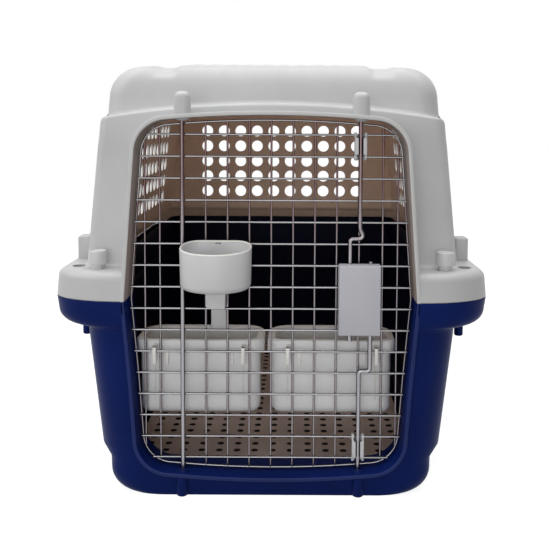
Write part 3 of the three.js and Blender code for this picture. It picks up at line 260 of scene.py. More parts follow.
def removed(passing):
    mesh = passing.data
    bpy.data.objects.remove(passing)
    bpy.data.meshes.remove(mesh)


def reworked(bm, kind, settings):
    """Passes the mesh through one of Blender's modifiers."""
    work = passing_object("work", bm)
    modifier = work.modifiers.new(kind, kind)
    for key, value in settings.items():
        setattr(modifier, key, value)
    evaluated = work.evaluated_get(bpy.context.evaluated_depsgraph_get())
    result = evaluated.to_mesh()
    bm.clear()
    bm.from_mesh(result)
    evaluated.to_mesh_clear()
    removed(work)


def walled(bm):
    """Gives an outer skin the shells' wall; its inner faces get the second material, which paints the shade
    and light inside the shell.
    """
    outwards(bm)
    reworked(bm, "SOLIDIFY", {"thickness": SHELL_WALL, "offset": -1, "material_offset": 1,
                              "use_even_offset": False})


def cut(bm, shape, material=0):
    """Takes the shape away from the mesh; the cut faces get the material of that index."""
    for face in shape.faces:
        face.material_index = material
    outwards(shape)
    cutter = passing_object("shape", shape)
    shape.free()
    reworked(bm, "BOOLEAN", {"object": cutter, "operation": "DIFFERENCE", "solver": "MANIFOLD"})
    removed(cutter)


def finished(name, bm, body, materials, replaced, crease=32):
    """The piece at its real size, riding on its body in place of its CAD nodes."""
    bmesh.ops.scale(bm, vec=(MM, MM, MM), verts=bm.verts)
    for face in bm.faces:
        face.smooth = True
    for edge in bm.edges:
        edge.smooth = len(edge.link_faces) == 2 and edge.calc_face_angle(0) < radians(crease)
    mesh = bpy.data.meshes.new(name)
    bm.to_mesh(mesh)
    bm.free()
    for material in materials:
        mesh.materials.append(material)
    piece = bpy.data.objects.new(name, mesh)
    bpy.context.scene.collection.objects.link(piece)
    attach(piece, body)
    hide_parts(*replaced)


def doorway_half(side, bend, corner, crown, arch, grown):
    """One half of the doorway's outline in X and Z; side is 1 above the seam and -1 below it."""
    corner_x, corner_z = corner
    radius = DOORWAY_RADIUS + grown
    half = [(side * (DOORWAY_SEAM_X + grown), SEAM + side * SEAM_GAP / 2),
            (side * (DOORWAY_BEND_X + grown), bend)]
    for step in range(DOORWAY_STEPS + 1):
        angle = step / DOORWAY_STEPS * pi / 2
        half.append((side * (corner_x + radius * cos(angle)), corner_z + side * radius * sin(angle)))
    for step in range(1, DOORWAY_STEPS + 1):
        share = 1 - step / DOORWAY_STEPS
        half.append((side * corner_x * share, crown + side * (grown - arch * share**2)))
    return half + [(-x, z) for x, z in reversed(half[:-1])]


def doorway_upper(grown=0.0):
    """The outline above the seam, from the right over the top to the left."""
    return doorway_half(1, 338, (115, 393.6), 436.8, 5.2, grown)


def doorway_lower(grown=0.0):
    """The outline below the seam, from the left round the bottom to the right."""
    return doorway_half(-1, 136, (114, 66.8), 23.5, 5.3, grown)


def doorway_hole():
    """The doorway as a shape to take out of a shell's front, under the middle of the lip."""
    bm = bmesh.new()
    outline = doorway_upper(LIP_THICKNESS / 2) + doorway_lower(LIP_THICKNESS / 2)
    skin(bm, [[Vector((x, y, z)) for x, z in outline] for y in (-360, -290)])
    return bm


def door_lip(bm, outline, edge, reveal):
    """Half of the doorway's lip: a flat band that stands forward, with a rounded front edge whose faces get
    the edge material, a painted highlight; faces turned to the doorway get the reveal material.
    """
    walls = len(bm.faces)
    sides = [[Vector((x, y, z)) for x, z in outline(grown)] for grown, y in LIP_SECTION]
    skin(bm, [list(ring) for ring in zip(*sides)])
    bm.faces.ensure_lookup_table()
    faces = bm.faces[walls:]
    bmesh.ops.recalc_face_normals(bm, faces=faces)
    for face in faces:
        middle = face.calc_center_median()
        # The front band gets the painted highlight.
        if middle.y < LIP_EDGE_Y:
            face.material_index = edge
        elif face.normal.x * middle.x + face.normal.z * (middle.z - SEAM) < 0:
            face.material_index = reveal


def shell_rim_ring(inset_x, inset_y, height, across):
    """A ring of the rim that both shells have at the seam."""
    return rounded(FLANGE_HALF_X - inset_x, FLANGE_HALF_Y - inset_y, FLANGE_CORNER[0] - inset_x,
                   FLANGE_CORNER[1] - inset_y, height, across=across, along=ALONG)


def upper_ring(half_x, half_y, corner, height):
    return rounded(half_x, half_y, corner, corner, height, across=UPPER_ACROSS, along=ALONG)


def panel_top(x):
    """Height of the end panels' arched top, with a rounded corner at each end."""
    past = max(abs(x) - (BODY_SHOULDER_X + PANEL_PROUD - PANEL_CORNER), 0)
    drop = PANEL_CORNER - max(PANEL_CORNER**2 - past**2, 0) ** 0.5
    return PANEL_CROWN - PANEL_FALL * x * x - drop


def wall_x(height):
    """Half the width between the leaning side walls."""
    share = (height - FLANGE_TOP) / (SHOULDER - FLANGE_TOP)
    return BODY_FOOT_X + (BODY_SHOULDER_X - BODY_FOOT_X) * share


def panel_ring(half_y, corner, side_height, front_rise, panel):
    """A ring that climbs the side walls and follows the panels' arch at both ends."""
    nominal = wall_x(side_height)
    ring = upper_ring(nominal, half_y, corner, side_height)
    for point in ring:
        front = smooth_step(*PANEL_BLEND, abs(point.y)) * panel
        point.z += (panel_top(point.x) + front_rise - side_height) * front
        point.x *= wall_x(point.z) / nominal
    return ring


def roofed(ring):
    """Sinks the two grooves into the roof's rings and raises the faint ribs between them."""
    for point in ring:
        x = abs(point.x)
        outside = max(GROOVE[0] - x, (x - GROOVE[1]) / GROOVE_OUTER_EASE, 0)
        point.z -= GROOVE_SINK * max(1 - outside / GROOVE_SINK_REACH, 0) * smooth_step(484, 488, point.z)
        floor = GROOVE_MIDDLE + (GROOVE_ENDS - GROOVE_MIDDLE) * abs(point.y) / ROOF_Y
        ribs = RIB_RISE / 2 * (1 - cos(2 * pi * x / RIB_PITCH)) * smooth_step(118, 108, x)
        point.z = min(point.z + ribs * smooth_step(485, 497, point.z), floor + GROOVE_SLOPE * outside)
    return ring


def upper_shell_skin(bm):
    """The outer face from the seam over the rim, walls and panels to the middle of the roof."""
    rim = [(SEAM + SEAM_GAP / 2, SEAM_BEVEL), (SEAM + SEAM_BEVEL_HEIGHT, 0.0),
           (FLANGE_TOP - FLANGE_EDGE, FLANGE_DRAFT)]
    for down, inward in quarter_round()[1:]:
        rim.append((FLANGE_TOP - FLANGE_EDGE * down, FLANGE_DRAFT + FLANGE_EDGE * inward))
    outlines = [shell_rim_ring(inset, inset, height, UPPER_ACROSS) for height, inset in rim]
    for out, height in BODY_FOOT_FILLET:
        outlines.append(upper_ring(BODY_FOOT_X + out, PANEL_Y + out, PANEL_FOOT_CORNER + out, height))
    outlines.append(panel_ring(PANEL_Y, PANEL_FOOT_CORNER, PANEL_FOOT_TOP, 0, 0))
    for side, y, rise in PANEL_EDGE:
        outlines.append(panel_ring(y, PANEL_EDGE_CORNER, side, rise, 1))
    for side, y, rise, corner in PANEL_LEDGE:
        outlines.append(panel_ring(y, corner, side, rise, 1))
    for step in range(ROOF_EDGE_STEPS + 1):
        angle = ROOF_END_ANGLE * step / ROOF_EDGE_STEPS
        inset_x, inset_y = (inset * (1 - cos(angle)) for inset in ROOF_INSET)
        roof_edge = SHOULDER + ROOF_RISE * sin(angle)
        edge = upper_ring(BODY_SHOULDER_X - inset_x, ROOF_Y - inset_y, ROOF_CORNER, roof_edge)
        outlines.append(roofed(edge))
    for step in range(1, ROOF_CROWN_STEPS):
        share = 1 - step / ROOF_CROWN_STEPS
        height = roof_edge + ROOF_CROWN * (1 - share**2)
        outlines.append(roofed([Vector((p.x * share, p.y * share, height)) for p in edge]))
    skin(bm, outlines, closed=False)
    top = [v for v in bm.verts if hypot(v.co.x, v.co.y) < 8 and v.co.z > 500]
    bmesh.ops.contextual_create(bm, geom=top)


light_shell = moulded_plastic("light shell", (191, 191, 192), (198, 198, 199), 0.42, grain=0.6, relief=0.08)
# Painted light and shade: the shell's inner faces are warm brown with a faint glow.
shell_inside_painted_light = moulded_plastic("shell inside painted light", (232, 202, 180), (238, 210, 188), 0.6, grain=0.8, glow=0.026)
# Painted light: the vents' walls are near white and glow, so the vents read bright.
vent_rim_painted_glow = moulded_plastic("vent rim painted glow", (226, 223, 220), (232, 229, 226), 0.5, grain=0.6, glow=0.1)
# Painted highlight: a lighter band on the front of the upper lip.
lip_painted_highlight = moulded_plastic("lip painted highlight", (200, 200, 199), (207, 207, 206), 0.4, grain=0.6)
# Painted light: the lip's inner sides are a lighter pinkish brown with a glow.
reveal = moulded_plastic("doorway reveal painted light", (158, 146, 140), (165, 152, 146), 0.5, grain=0.6, glow=0.045)
upper_finishes = [light_shell, shell_inside_painted_light, vent_rim_painted_glow, lip_painted_highlight, reveal]

shell = bmesh.new()
upper_shell_skin(shell)
walled(shell)

holes = doorway_hole()
for z in VENT_ROWS:
    for x in BACK_VENTS:
        peg(holes, (x, 290, z), (x, 315, z), VENT_RADIUS)
    for y in SIDE_VENTS:
        peg(holes, (-230, y, z), (230, y, z), VENT_RADIUS)
# The vents' cut walls get the glowing vent material, painted light.
cut(shell, holes, upper_finishes.index(vent_rim_painted_glow))
tie_holes = bmesh.new()
for side_x in (-1, 1):
    for side_y in (-1, 1):
        x, y = side_x * TIE_HOLE_PLACE[0], side_y * TIE_HOLE_PLACE[1]
        peg(tie_holes, (x, y, 240), (x, y, 270), TIE_HOLE_RADIUS)
cut(shell, tie_holes)

# The upper lip: a painted highlight on its front and painted light on its reveal.
door_lip(shell, doorway_upper, upper_finishes.index(lip_painted_highlight), upper_finishes.index(reveal))
for side in (-1, 1):
    block(shell, (side * ROD_X - 9, ROD_Y - 7.6, 430), (side * ROD_X + 10, ROD_Y + 9.4, 463.6),
          edge=7.4, segments=8)
finished("upper_shell", shell, "shell", upper_finishes, ["top_shell"])


# Lower shell: one navy moulding. A closed floor with a rounded foot, a step low in the walls,
# walls that lean out to a gutter, and the gutter's rim, which meets the upper shell at the
# seam. A tongue stands up inside the upper shell.
FOOT_X = 187.0
FOOT_Y = 344.0
FOOT_RADIUS = 26.0
FOOT_DEPTH = 1.5
FOOT_CORNER = (38.0, 24.0)
FOOT_TOP = 47.0
STEP = ((30, 187), (39, 187.3), (41, 188.4), (47.5, 197.4), (50, 198.9), (52, 199.6))
WALL_TOP = (214.3, 344.7, 180)
GUTTER_FOOT = (215.0, 345.0)
GUTTER_FILLET = ((0, 189), (1, 192), (3.5, 194.4), (7, 195.2))
GUTTER_BOTTOM = 195.2
GUTTER_ROUND = (20.0, 4.0, 17.0)
BASE_CORNER = (50.0, 38.0)
LOWER_ACROSS = 24
TONGUE = ((217, 300.5, 189), (217, 300.5, 241.8), (216.3, 299.8, 243), (214.7, 298.2, 243),
          (214, 297.5, 241.8), (214, 297.5, 189))
LOWER_BOSS = [(5.6, 0), (6.5, 0.8), (6.75, 2), (6.75, 27.6), (6.2, 28.6)]
CLAMP_FOOT = [(4.4, 162), (5.3, 162.8), (5.5, 164), (5.5, 198)]
CLAMP_PLACE = (234.0, 249.0)


def base_ring(half_x, half_y, height, corner=BASE_CORNER):
    return rounded(half_x, half_y, *corner, height, across=LOWER_ACROSS, along=ALONG)


def lower_shell_skin(bm):
    """The outer face from the bottom up the walls and round under the gutter to the seam."""
    outlines = []
    for inward, up in quarter_round():
        outlines.append(base_ring(FOOT_X - FOOT_RADIUS * inward, FOOT_Y - FOOT_DEPTH * inward,
                                  FOOT_RADIUS * up, FOOT_CORNER))
    for height, half_x in STEP:
        outlines.append(base_ring(half_x, FOOT_Y, height, FOOT_CORNER if height < FOOT_TOP else BASE_CORNER))
    outlines.append(base_ring(*WALL_TOP))
    for out, height in GUTTER_FILLET:
        outlines.append(base_ring(GUTTER_FOOT[0] + out, GUTTER_FOOT[1] + out / 6, height))
    round_x, round_y, round_z = GUTTER_ROUND
    for inward, up in quarter_round():
        outlines.append(shell_rim_ring(FLANGE_DRAFT + round_x * inward, round_y * inward,
                                       GUTTER_BOTTOM + round_z * up, LOWER_ACROSS))
    for height, inset in ((SEAM - SEAM_BEVEL_HEIGHT, 0.0), (SEAM - SEAM_GAP / 2, SEAM_BEVEL)):
        outlines.append(shell_rim_ring(inset, inset, height, LOWER_ACROSS))
    skin(bm, outlines, closed=False)
    bottom = [v for v in bm.verts if v.co.z < 0.01]
    bmesh.ops.contextual_create(bm, geom=bottom)


navy_shell = moulded_plastic("navy shell", (8, 28, 85), (11, 32, 95), 0.4,
                             grain=0.6, relief=0.1, specular=0.06)
# Painted shade: a much darker copy of the navy for the base's inner faces and the tongue.
navy_inside_painted_shade = moulded_plastic("navy inside painted shade", (11, 15, 36), (13, 18, 42), 0.5,
                              grain=0.6, relief=0.1, specular=0.06)
# Painted highlight: a lighter, glossier navy band on the front of the lower lip.
navy_lip_painted_highlight = moulded_plastic("navy lip painted highlight", (11, 31, 88), (15, 37, 98), 0.4,
                            grain=0.6, relief=0.1, specular=0.2)
lower_finishes = [navy_shell, navy_inside_painted_shade, navy_lip_painted_highlight]

base = bmesh.new()
lower_shell_skin(base)
walled(base)
outside = len(base.faces)
skin(base, [rounded(x, y, 24, 24, z, along=ALONG) for x, y, z in TONGUE], joined=True)
base.faces.ensure_lookup_table()
# The tongue gets the darker navy, painted shade.
for face in base.faces[outside:]:
    face.material_index = lower_finishes.index(navy_inside_painted_shade)
cut(base, doorway_hole())

door_lip(base, doorway_lower, lower_finishes.index(navy_lip_painted_highlight), lower_finishes.index(navy_shell))
block(base, (-58, -336, 2), (58, -291, 22.6), edge=2)
for side in (-1, 1):
    turned(base, LOWER_BOSS, side * ROD_X, ROD_Y - 6)
    for end in (-1, 1):
        turned(base, CLAMP_FOOT, side * CLAMP_PLACE[0], end * CLAMP_PLACE[1])
finished("lower_shell", base, "shell", lower_finishes, ["base_shell"])


# Floor mat: a taupe plate with rows of drain holes, moulded on a low skirt that keeps it off
# the floor, and notched at the front round the doorway's sill.
MAT_HALF = (174.0, 299.5)
MAT_CORNER = 32.0
MAT_EDGE = ((1.0, 13.5), (0.3, 13.8), (0.0, 14.5), (0.0, 15.5), (0.3, 16.2), (1.0, 16.5))
MAT_NOTCH = (66.0, -285.0)
MAT_HOLE_RADIUS = 4.4
MAT_HOLES_X = [22.3 * (column - 7) for column in range(15)]
MAT_HOLES_Y = [20.0 * (row - 14) for row in range(29)]
SKIRT_HALF = (154.0, 279.5)
SKIRT_CORNER = 12.0
SKIRT_SECTION = ((0, 3.35), (0, 13.6), (2.5, 13.6), (2.5, 3.35))

taupe = moulded_plastic("taupe mat", (232, 216, 208), (238, 222, 214), 0.55, grain=0.9, relief=0.12)
# Painted shade: the drain holes' walls are painted dark.
hole_shade = moulded_plastic("hole walls painted shade", (40, 34, 32), (48, 42, 38), 0.7, grain=0.9)


def mat_rings(half, corner, section, steps):
    rings = []
    for inset, height in section:
        reach = corner - inset
        rings.append(rounded(half[0] - inset, half[1] - inset, reach, reach, height, steps=steps))
    return rings


mat = bmesh.new()
skin(mat, mat_rings(MAT_HALF, MAT_CORNER, MAT_EDGE, 8))
holes = bmesh.new()
block(holes, (-59.5, -305, 5), (59.5, -289.5, 25))
for x in MAT_HOLES_X:
    for y in MAT_HOLES_Y:
        if abs(x) > MAT_NOTCH[0] or y > MAT_NOTCH[1]:
            peg(holes, (x, y, 10), (x, y, 20), MAT_HOLE_RADIUS, segments=14)
outwards(mat)
cut(mat, holes, material=1)
skirt = bmesh.new()
skin(skirt, mat_rings(SKIRT_HALF, SKIRT_CORNER, SKIRT_SECTION, 6), joined=True)
notch = bmesh.new()
block(notch, (-79.5, -300, 0), (79.5, -247.5, 20))
cut(skirt, notch)
skirt_mesh = bpy.data.meshes.new("skirt")
skirt.to_mesh(skirt_mesh)
skirt.free()
mat.from_mesh(skirt_mesh)
finished("mat", mat, "shell", [taupe, hole_shade], ["floor_mat"])


# Corner fasteners: white turned knobs with a sunk top on bolts that come up through both rims,
# and four square posts with bevelled tops clamped to the rim's sides.
KNOB_PLACE = (202.0, 319.0)
KNOB_PROFILE = [(7.6, 256.4), (7.6, 263.4), (9.6, 263.6), (10.2, 264.2), (10.3, 265), (10.3, 278),
                (10.0, 279.2), (9.3, 279.6), (8.2, 279.5), (7.6, 278.6), (7.0, 278.4), (0.5, 278.4)]
BOLT_PROFILE = [(6.2, 184.4), (7.2, 184.8), (7.5, 185.8), (7.5, 191.6),
                (4.0, 191.7), (4.0, 273.5), (3.0, 274)]
POST_HALF = (8.0, 11.0)
POST_BOTTOM = 256.4
POST_TOP = 287.0

white = moulded_plastic("white plastic", (207, 207, 208), (214, 214, 215), 0.4)

for end, side_y in (("front", -1), ("back", 1)):
    for side, side_x in (("left", -1), ("right", 1)):
        corner = f"{end}_{side}"
        x, y = side_x * KNOB_PLACE[0], side_y * KNOB_PLACE[1]
        knob = bmesh.new()
        turned(knob, KNOB_PROFILE, x, y, steps=48)
        outwards(knob)
        finished(f"{corner}_corner_knob", knob, "shell", [white], [f"{corner}_knob"])
        bolt = bmesh.new()
        turned(bolt, BOLT_PROFILE, x, y)
        outwards(bolt)
        finished(f"{corner}_corner_bolt", bolt, "shell", [white], [f"{corner}_bolt"])
        x, y = side_x * CLAMP_PLACE[0], side_y * CLAMP_PLACE[1]
        post = bmesh.new()
        block(post, (x - POST_HALF[0], y - POST_HALF[1], POST_BOTTOM),
              (x + POST_HALF[0], y + POST_HALF[1], POST_TOP), edge=2.4)
        outwards(post)
        finished(f"{corner}_post", post, "shell", [light_shell], [f"{corner}_clamp_post"])


# Wire door: drawn steel wire, plated bright. Rows in front and uprights behind are spot welded
# where they cross, on a frame wire bent to the doorway's outline.
WIRE = 2.5
WIRE_PITCH = 25.0
WIRE_WELD = 0.5
ROD = 2.5
RUNNING_GAP = 0.35
ROW_Y = ROD_Y + ROD + RUNNING_GAP + WIRE / 2
UPRIGHT_Y = ROW_Y + WIRE - WIRE_WELD
DOOR_GAP = 2.75
BOTTOM_ROW = 40.0
ROWS = 16
UPRIGHTS = [0.0] + [s * x for x in (25, 50, 75, 127.5, 144.8) for s in (-1, 1)] + [100.65]
FRAME_SAG = 1.4
UPRIGHT_FACE = 60.0


def steel_with_painted_reflections(name, core, edge, above):
    """Plated wire with painted reflections: painted shade darkens the faces turned sideways, and painted
    dimming darkens it above by the given share.
    """
    material = bpy.data.materials.new(name)
    material.use_nodes = True
    nodes, links = material.node_tree.nodes, material.node_tree.links
    shader = nodes["Principled BSDF"]
    shader.inputs["Metallic"].default_value = 1
    place = nodes.new("ShaderNodeTexCoord")
    direction = nodes.new("ShaderNodeSeparateXYZ")
    forward = nodes.new("ShaderNodeMath")
    forward.operation = "ABSOLUTE"
    sideways = nodes.new("ShaderNodeMath")
    sideways.operation = "SUBTRACT"
    sideways.inputs[0].default_value = 1
    # Painted shade: faces turned sideways blend from the core colour to the dark edge colour.
    painted_shade_tints = nodes.new("ShaderNodeValToRGB")
    painted_shade_tints.color_ramp.elements[0].position = 0.08
    painted_shade_tints.color_ramp.elements[0].color = linear(*core)
    painted_shade_tints.color_ramp.elements[1].position = 0.55
    painted_shade_tints.color_ramp.elements[1].color = linear(*edge)
    height = nodes.new("ShaderNodeSeparateXYZ")
    # Painted dimming: above 0.27 to 0.36 m the colour is multiplied by the given share.
    upper = nodes.new("ShaderNodeMapRange")
    upper.inputs["From Min"].default_value = 0.27
    upper.inputs["From Max"].default_value = 0.36
    painted_dimming = nodes.new("ShaderNodeMix")
    painted_dimming.data_type = "RGBA"
    painted_dimming.blend_type = "MULTIPLY"
    painted_dimming.inputs["B"].default_value = above
    marks = nodes.new("ShaderNodeTexNoise")
    marks.inputs["Scale"].default_value = 260
    gloss = nodes.new("ShaderNodeMapRange")
    gloss.inputs["To Min"].default_value = 0.14
    gloss.inputs["To Max"].default_value = 0.3
    links.new(place.outputs["Normal"], direction.inputs["Vector"])
    links.new(direction.outputs["Y"], forward.inputs[0])
    links.new(forward.outputs["Value"], sideways.inputs[1])
    links.new(sideways.outputs["Value"], painted_shade_tints.inputs["Fac"])
    links.new(place.outputs["Object"], height.inputs["Vector"])
    links.new(height.outputs["Z"], upper.inputs["Value"])
    links.new(upper.outputs["Result"], painted_dimming.inputs["Factor"])
    links.new(painted_shade_tints.outputs["Color"], painted_dimming.inputs["A"])
    links.new(painted_dimming.outputs["Result"], shader.inputs["Base Color"])
    links.new(place.outputs["Object"], marks.inputs["Vector"])
    links.new(marks.outputs["Fac"], gloss.inputs["Value"])
    links.new(gloss.outputs["Result"], shader.inputs["Roughness"])
    return material


def bar(bm, path, radius, sides=12, joined=False):
    """A round bar along a path of points in X and Z at one depth."""
    rings = []
    depth = Vector((0, 1, 0))
    for i, point in enumerate(path):
        before = path[i - 1] if joined or i else point
        after = path[(i + 1) % len(path)] if joined or i + 1 < len(path) else point
        into = (point - before).normalized() if i or joined else (after - point).normalized()
        out = (after - point).normalized() if i + 1 < len(path) or joined else into
        along = (into + out).normalized()
        across = along.cross(depth) / max(along.dot(out), 0.3)
        angles = [2 * pi * step / sides for step in range(sides)]
        rings.append([point + depth * (radius * cos(a)) + across * (radius * sin(a)) for a in angles])
    skin(bm, rings, joined=joined)


def reach_at(outline, height):
    """Half the width of a closed outline at a height."""
    reach = 0.0
    for (ax, az), (bx, bz) in zip(outline, outline[1:] + outline[:1]):
        if (az - height) * (bz - height) <= 0 and az != bz:
            reach = max(reach, ax + (bx - ax) * (height - az) / (bz - az))
    return reach


def span_at(outline, x):
    """Lowest and highest point of a closed outline at a distance from the middle."""
    heights = []
    for (ax, az), (bx, bz) in zip(outline, outline[1:] + outline[:1]):
        if (ax - x) * (bx - x) <= 0 and ax != bx:
            heights.append(az + (bz - az) * (x - ax) / (bx - ax))
    return min(heights), max(heights)


# Painted reflections for the wires and rods: darker on the sides and dimmer above, standing in for reflected
# surroundings and shade.
steel_painted_reflections = steel_with_painted_reflections("bright wire painted reflections", (142, 141, 144), (28, 25, 30), (0.9, 0.88, 0.86, 1))
upright_steel_painted_reflections = steel_with_painted_reflections("upright wire painted reflections", (130, 124, 127), (26, 18, 26), (0.56, 0.37, 0.36, 1))
rod_steel_painted_reflections = steel_with_painted_reflections("rod", (146, 144, 148), (28, 22, 30), (0.5, 0.36, 0.35, 1))

wire_inset = -DOOR_GAP - WIRE / 2
frame_line = [(x, z - FRAME_SAG * smooth_step(330, 400, z)) for x, z in doorway_upper(wire_inset)]
frame_line += doorway_lower(wire_inset)
grid = bmesh.new()
bar(grid, [Vector((x, UPRIGHT_Y, z)) for x, z in frame_line], WIRE / 2, joined=True)
for row in range(ROWS):
    z = BOTTOM_ROW + WIRE_PITCH * row
    reach = reach_at(frame_line, z) + WIRE / 2
    peg(grid, (-reach, ROW_Y, z), (reach, ROW_Y, z), WIRE / 2, segments=12)
for x in UPRIGHTS:
    low, high = span_at(frame_line, x)
    peg(grid, (x, UPRIGHT_Y, low), (x, UPRIGHT_Y, high), WIRE / 2, segments=12)
# The uprights get the wire with the stronger painted dimming above.
for face in grid.faces:
    heights = [vert.co.z for vert in face.verts]
    if max(heights) - min(heights) > UPRIGHT_FACE:
        face.material_index = 1
outwards(grid)
finished("wire_grid", grid, "door", [steel_painted_reflections, upright_steel_painted_reflections], ["door_grid"], crease=50)


# Rods: the hinge rod turns in the left bosses. The two latch rods are cranked, run in the right
# bosses, and are drawn in by their stubs at the case's ends.
BEND = 4.0
BEND_STEPS = 6
BEND_LIMIT = 0.44


def bent(points):
    """A path with its corners rounded."""
    path = [points[0]]
    for before, corner, after in zip(points, points[1:], points[2:]):
        back, on = before - corner, after - corner
        start = corner + back.normalized() * min(BEND, back.length * BEND_LIMIT)
        end = corner + on.normalized() * min(BEND, on.length * BEND_LIMIT)
        for step in range(BEND_STEPS + 1):
            share = step / BEND_STEPS
            path.append(start.lerp(corner, share).lerp(corner.lerp(end, share), share))
    return path + [points[-1]]


def rod(name, places, body, node):
    bm = bmesh.new()
    bar(bm, bent([Vector((x, ROD_Y, z)) for x, z in places]), ROD, sides=20)
    outwards(bm)
    finished(name, bm, body, [rod_steel_painted_reflections], [node], crease=50)


rod("hinge_pin", [(-ROD_X, 9), (-ROD_X, 229), (-ROD_X, 449)], "door", "hinge_rod")
rod("upper_bolt", [(ROD_X, 443), (ROD_X, 308), (ROD_X + 3.8, 301), (ROD_X + 1, 297), (90, 297), (90, 179)],
    "upper_latch", "upper_latch_rod")
rod("lower_bolt", [(ROD_X, 14), (ROD_X, 144), (113.7, 144), (113.7, 271)], "lower_latch", "lower_latch_rod")


# Latch: a white case over the wires, open behind, with a plate that clamps it from the inside.
# Two white guides hold the latch rods to the wires, above and below.
CASE_BACK = ROW_Y - WIRE / 2 - RUNNING_GAP
GUIDE_LEFT = 94.4
GUIDE_RIGHT = 107.8
GUIDE_CHEEK = 2.0
GUIDE_LIP = 4.0
GUIDE_BACK = UPRIGHT_Y + WIRE / 2 + 0.2

case_white = moulded_plastic("case plastic", (192, 192, 199), (198, 198, 205), 0.45)

case = bmesh.new()
block(case, (77, -349.5, 188.3), (124.4, CASE_BACK, 268.3), edge=1.6, segments=4)
finished("case", case, "door", [case_white], ["latch_case"])

for name, low, high in (("upper", 390.0, 415.0), ("lower", 40.0, 65.0)):
    guide = bmesh.new()
    block(guide, (GUIDE_LEFT, GUIDE_BACK, low - 4), (GUIDE_RIGHT, GUIDE_BACK + 1.8, high - 1), edge=0.6)
    for cheek, lip in ((GUIDE_LEFT, GUIDE_LEFT), (GUIDE_RIGHT - GUIDE_CHEEK, GUIDE_RIGHT - GUIDE_LIP)):
        outer = cheek + GUIDE_CHEEK
        block(guide, (cheek, ROD_Y - 3.8, low + 2), (outer, GUIDE_BACK + 1, high - 2), edge=0.5)
        block(guide, (lip, ROD_Y - 4.6, low + 3), (lip + GUIDE_LIP, ROD_Y - 2.9, high - 3), edge=0.5)
        for wire, away in ((low, -1), (high, 1)):
            hook = sorted((wire + away * (WIRE / 2 + 0.2), wire + away * (WIRE / 2 + 1.6)))
            block(guide, (cheek - 0.5, ROW_Y - 2.6, hook[0]), (outer + 0.5, GUIDE_BACK + 1, hook[1]),
                  edge=0.4, segments=2)
            block(guide, (cheek - 0.5, ROW_Y - 2.8, wire - 2.4), (outer + 0.5, ROW_Y - 1.6, wire + 2.4),
                  edge=0.4, segments=2)
    outwards(guide)
    finished(f"{name}_guide", guide, "door", [white], [f"{name}_rod_guide"])

plain_nodes = {node: white for node in ("latch_back_plate", "upper_rod_bracket", "lower_rod_bracket")}
# The screws and springs take the wire's painted reflections too.
for end in ("upper", "lower"):
    plain_nodes[f"{end}_latch_screw"] = steel_painted_reflections
    plain_nodes[f"{end}_latch_spring"] = steel_painted_reflections
for node, material in plain_nodes.items():
    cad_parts[node].data.materials.clear()
    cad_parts[node].data.materials.append(material)


# Bowls: two white bowls that hang on the wires by narrow hooks, with a stiff rim, two raised
# tabs and two short ribs in front. Each has a lid with a wide mouth.
BOWL_FRONT = -325.9
BOWL_BACK = BOWL_FRONT + 69
RIM_HALF = 75.0
RIM_TOP = 166.3
BODY_HALF = 70.0
BODY_FRONT = BOWL_FRONT + 1.5
BODY_BACK = BOWL_BACK - 3
BODY_TOP = 160.8
BOWL_FRONT_CORNER = 13.0
BOWL_BACK_CORNER = 27.0
BOWL_BOTTOM = 88.5
BOWL_EDGE = 9.0
BOWL_WALL = 2.2
HOOK_OUT = 51.0
HOOK_TOP = 172.0
RIB_OUT = 37.7
LID_BOTTOM = RIM_TOP + 0.35
LID_TOP = 176.5
LID_SIDE = ((2.2, LID_BOTTOM), (0, LID_BOTTOM), (0, 173.6), (0.5, 175.4), (1.6, 176.3), (3, LID_TOP))
LID_MOUTH = ((2.8, LID_TOP), (4.0, 176.2), (4.5, 175), (4.55, 160.2), (2.6, 160.2), (2.6, 174))
SEAM_TABS = [(-77, 164.2), (-57.5, 164.2), (-54.5, 168.6), (-30.5, 168.6), (-27.5, 164.2)]


def bowl_plan(x, half_x, front_y, back_y, inset, height):
    """A ring with tight corners in front and wide ones at the back."""
    front = BOWL_FRONT_CORNER - inset
    back = BOWL_BACK_CORNER - inset
    return rounded(half_x - inset, (back_y - front_y) / 2 - inset, front, front, height,
                   back=(back, back), middle=(x, (back_y + front_y) / 2))


def rim_ring(x, inset, height):
    return bowl_plan(x, RIM_HALF, BOWL_FRONT, BOWL_BACK, inset, height)


def body_ring(x, inset, height):
    return bowl_plan(x, BODY_HALF, BODY_FRONT, BODY_BACK, inset, height)


def seam_cuts(x):
    """The stepped seam between a bowl and its lid, and a flute under each hook, as bars to take away."""
    bars = bmesh.new()
    line = SEAM_TABS + [(-place, height) for place, height in reversed(SEAM_TABS)]
    bar(bars, [Vector((x + place, BOWL_FRONT, height)) for place, height in line], 0.75, sides=8)
    for side in (-1, 1):
        flute = x + side * HOOK_OUT
        bar(bars, [Vector((flute, BODY_FRONT, height)) for height in (148, 103)], 0.8, sides=8)
    return bars


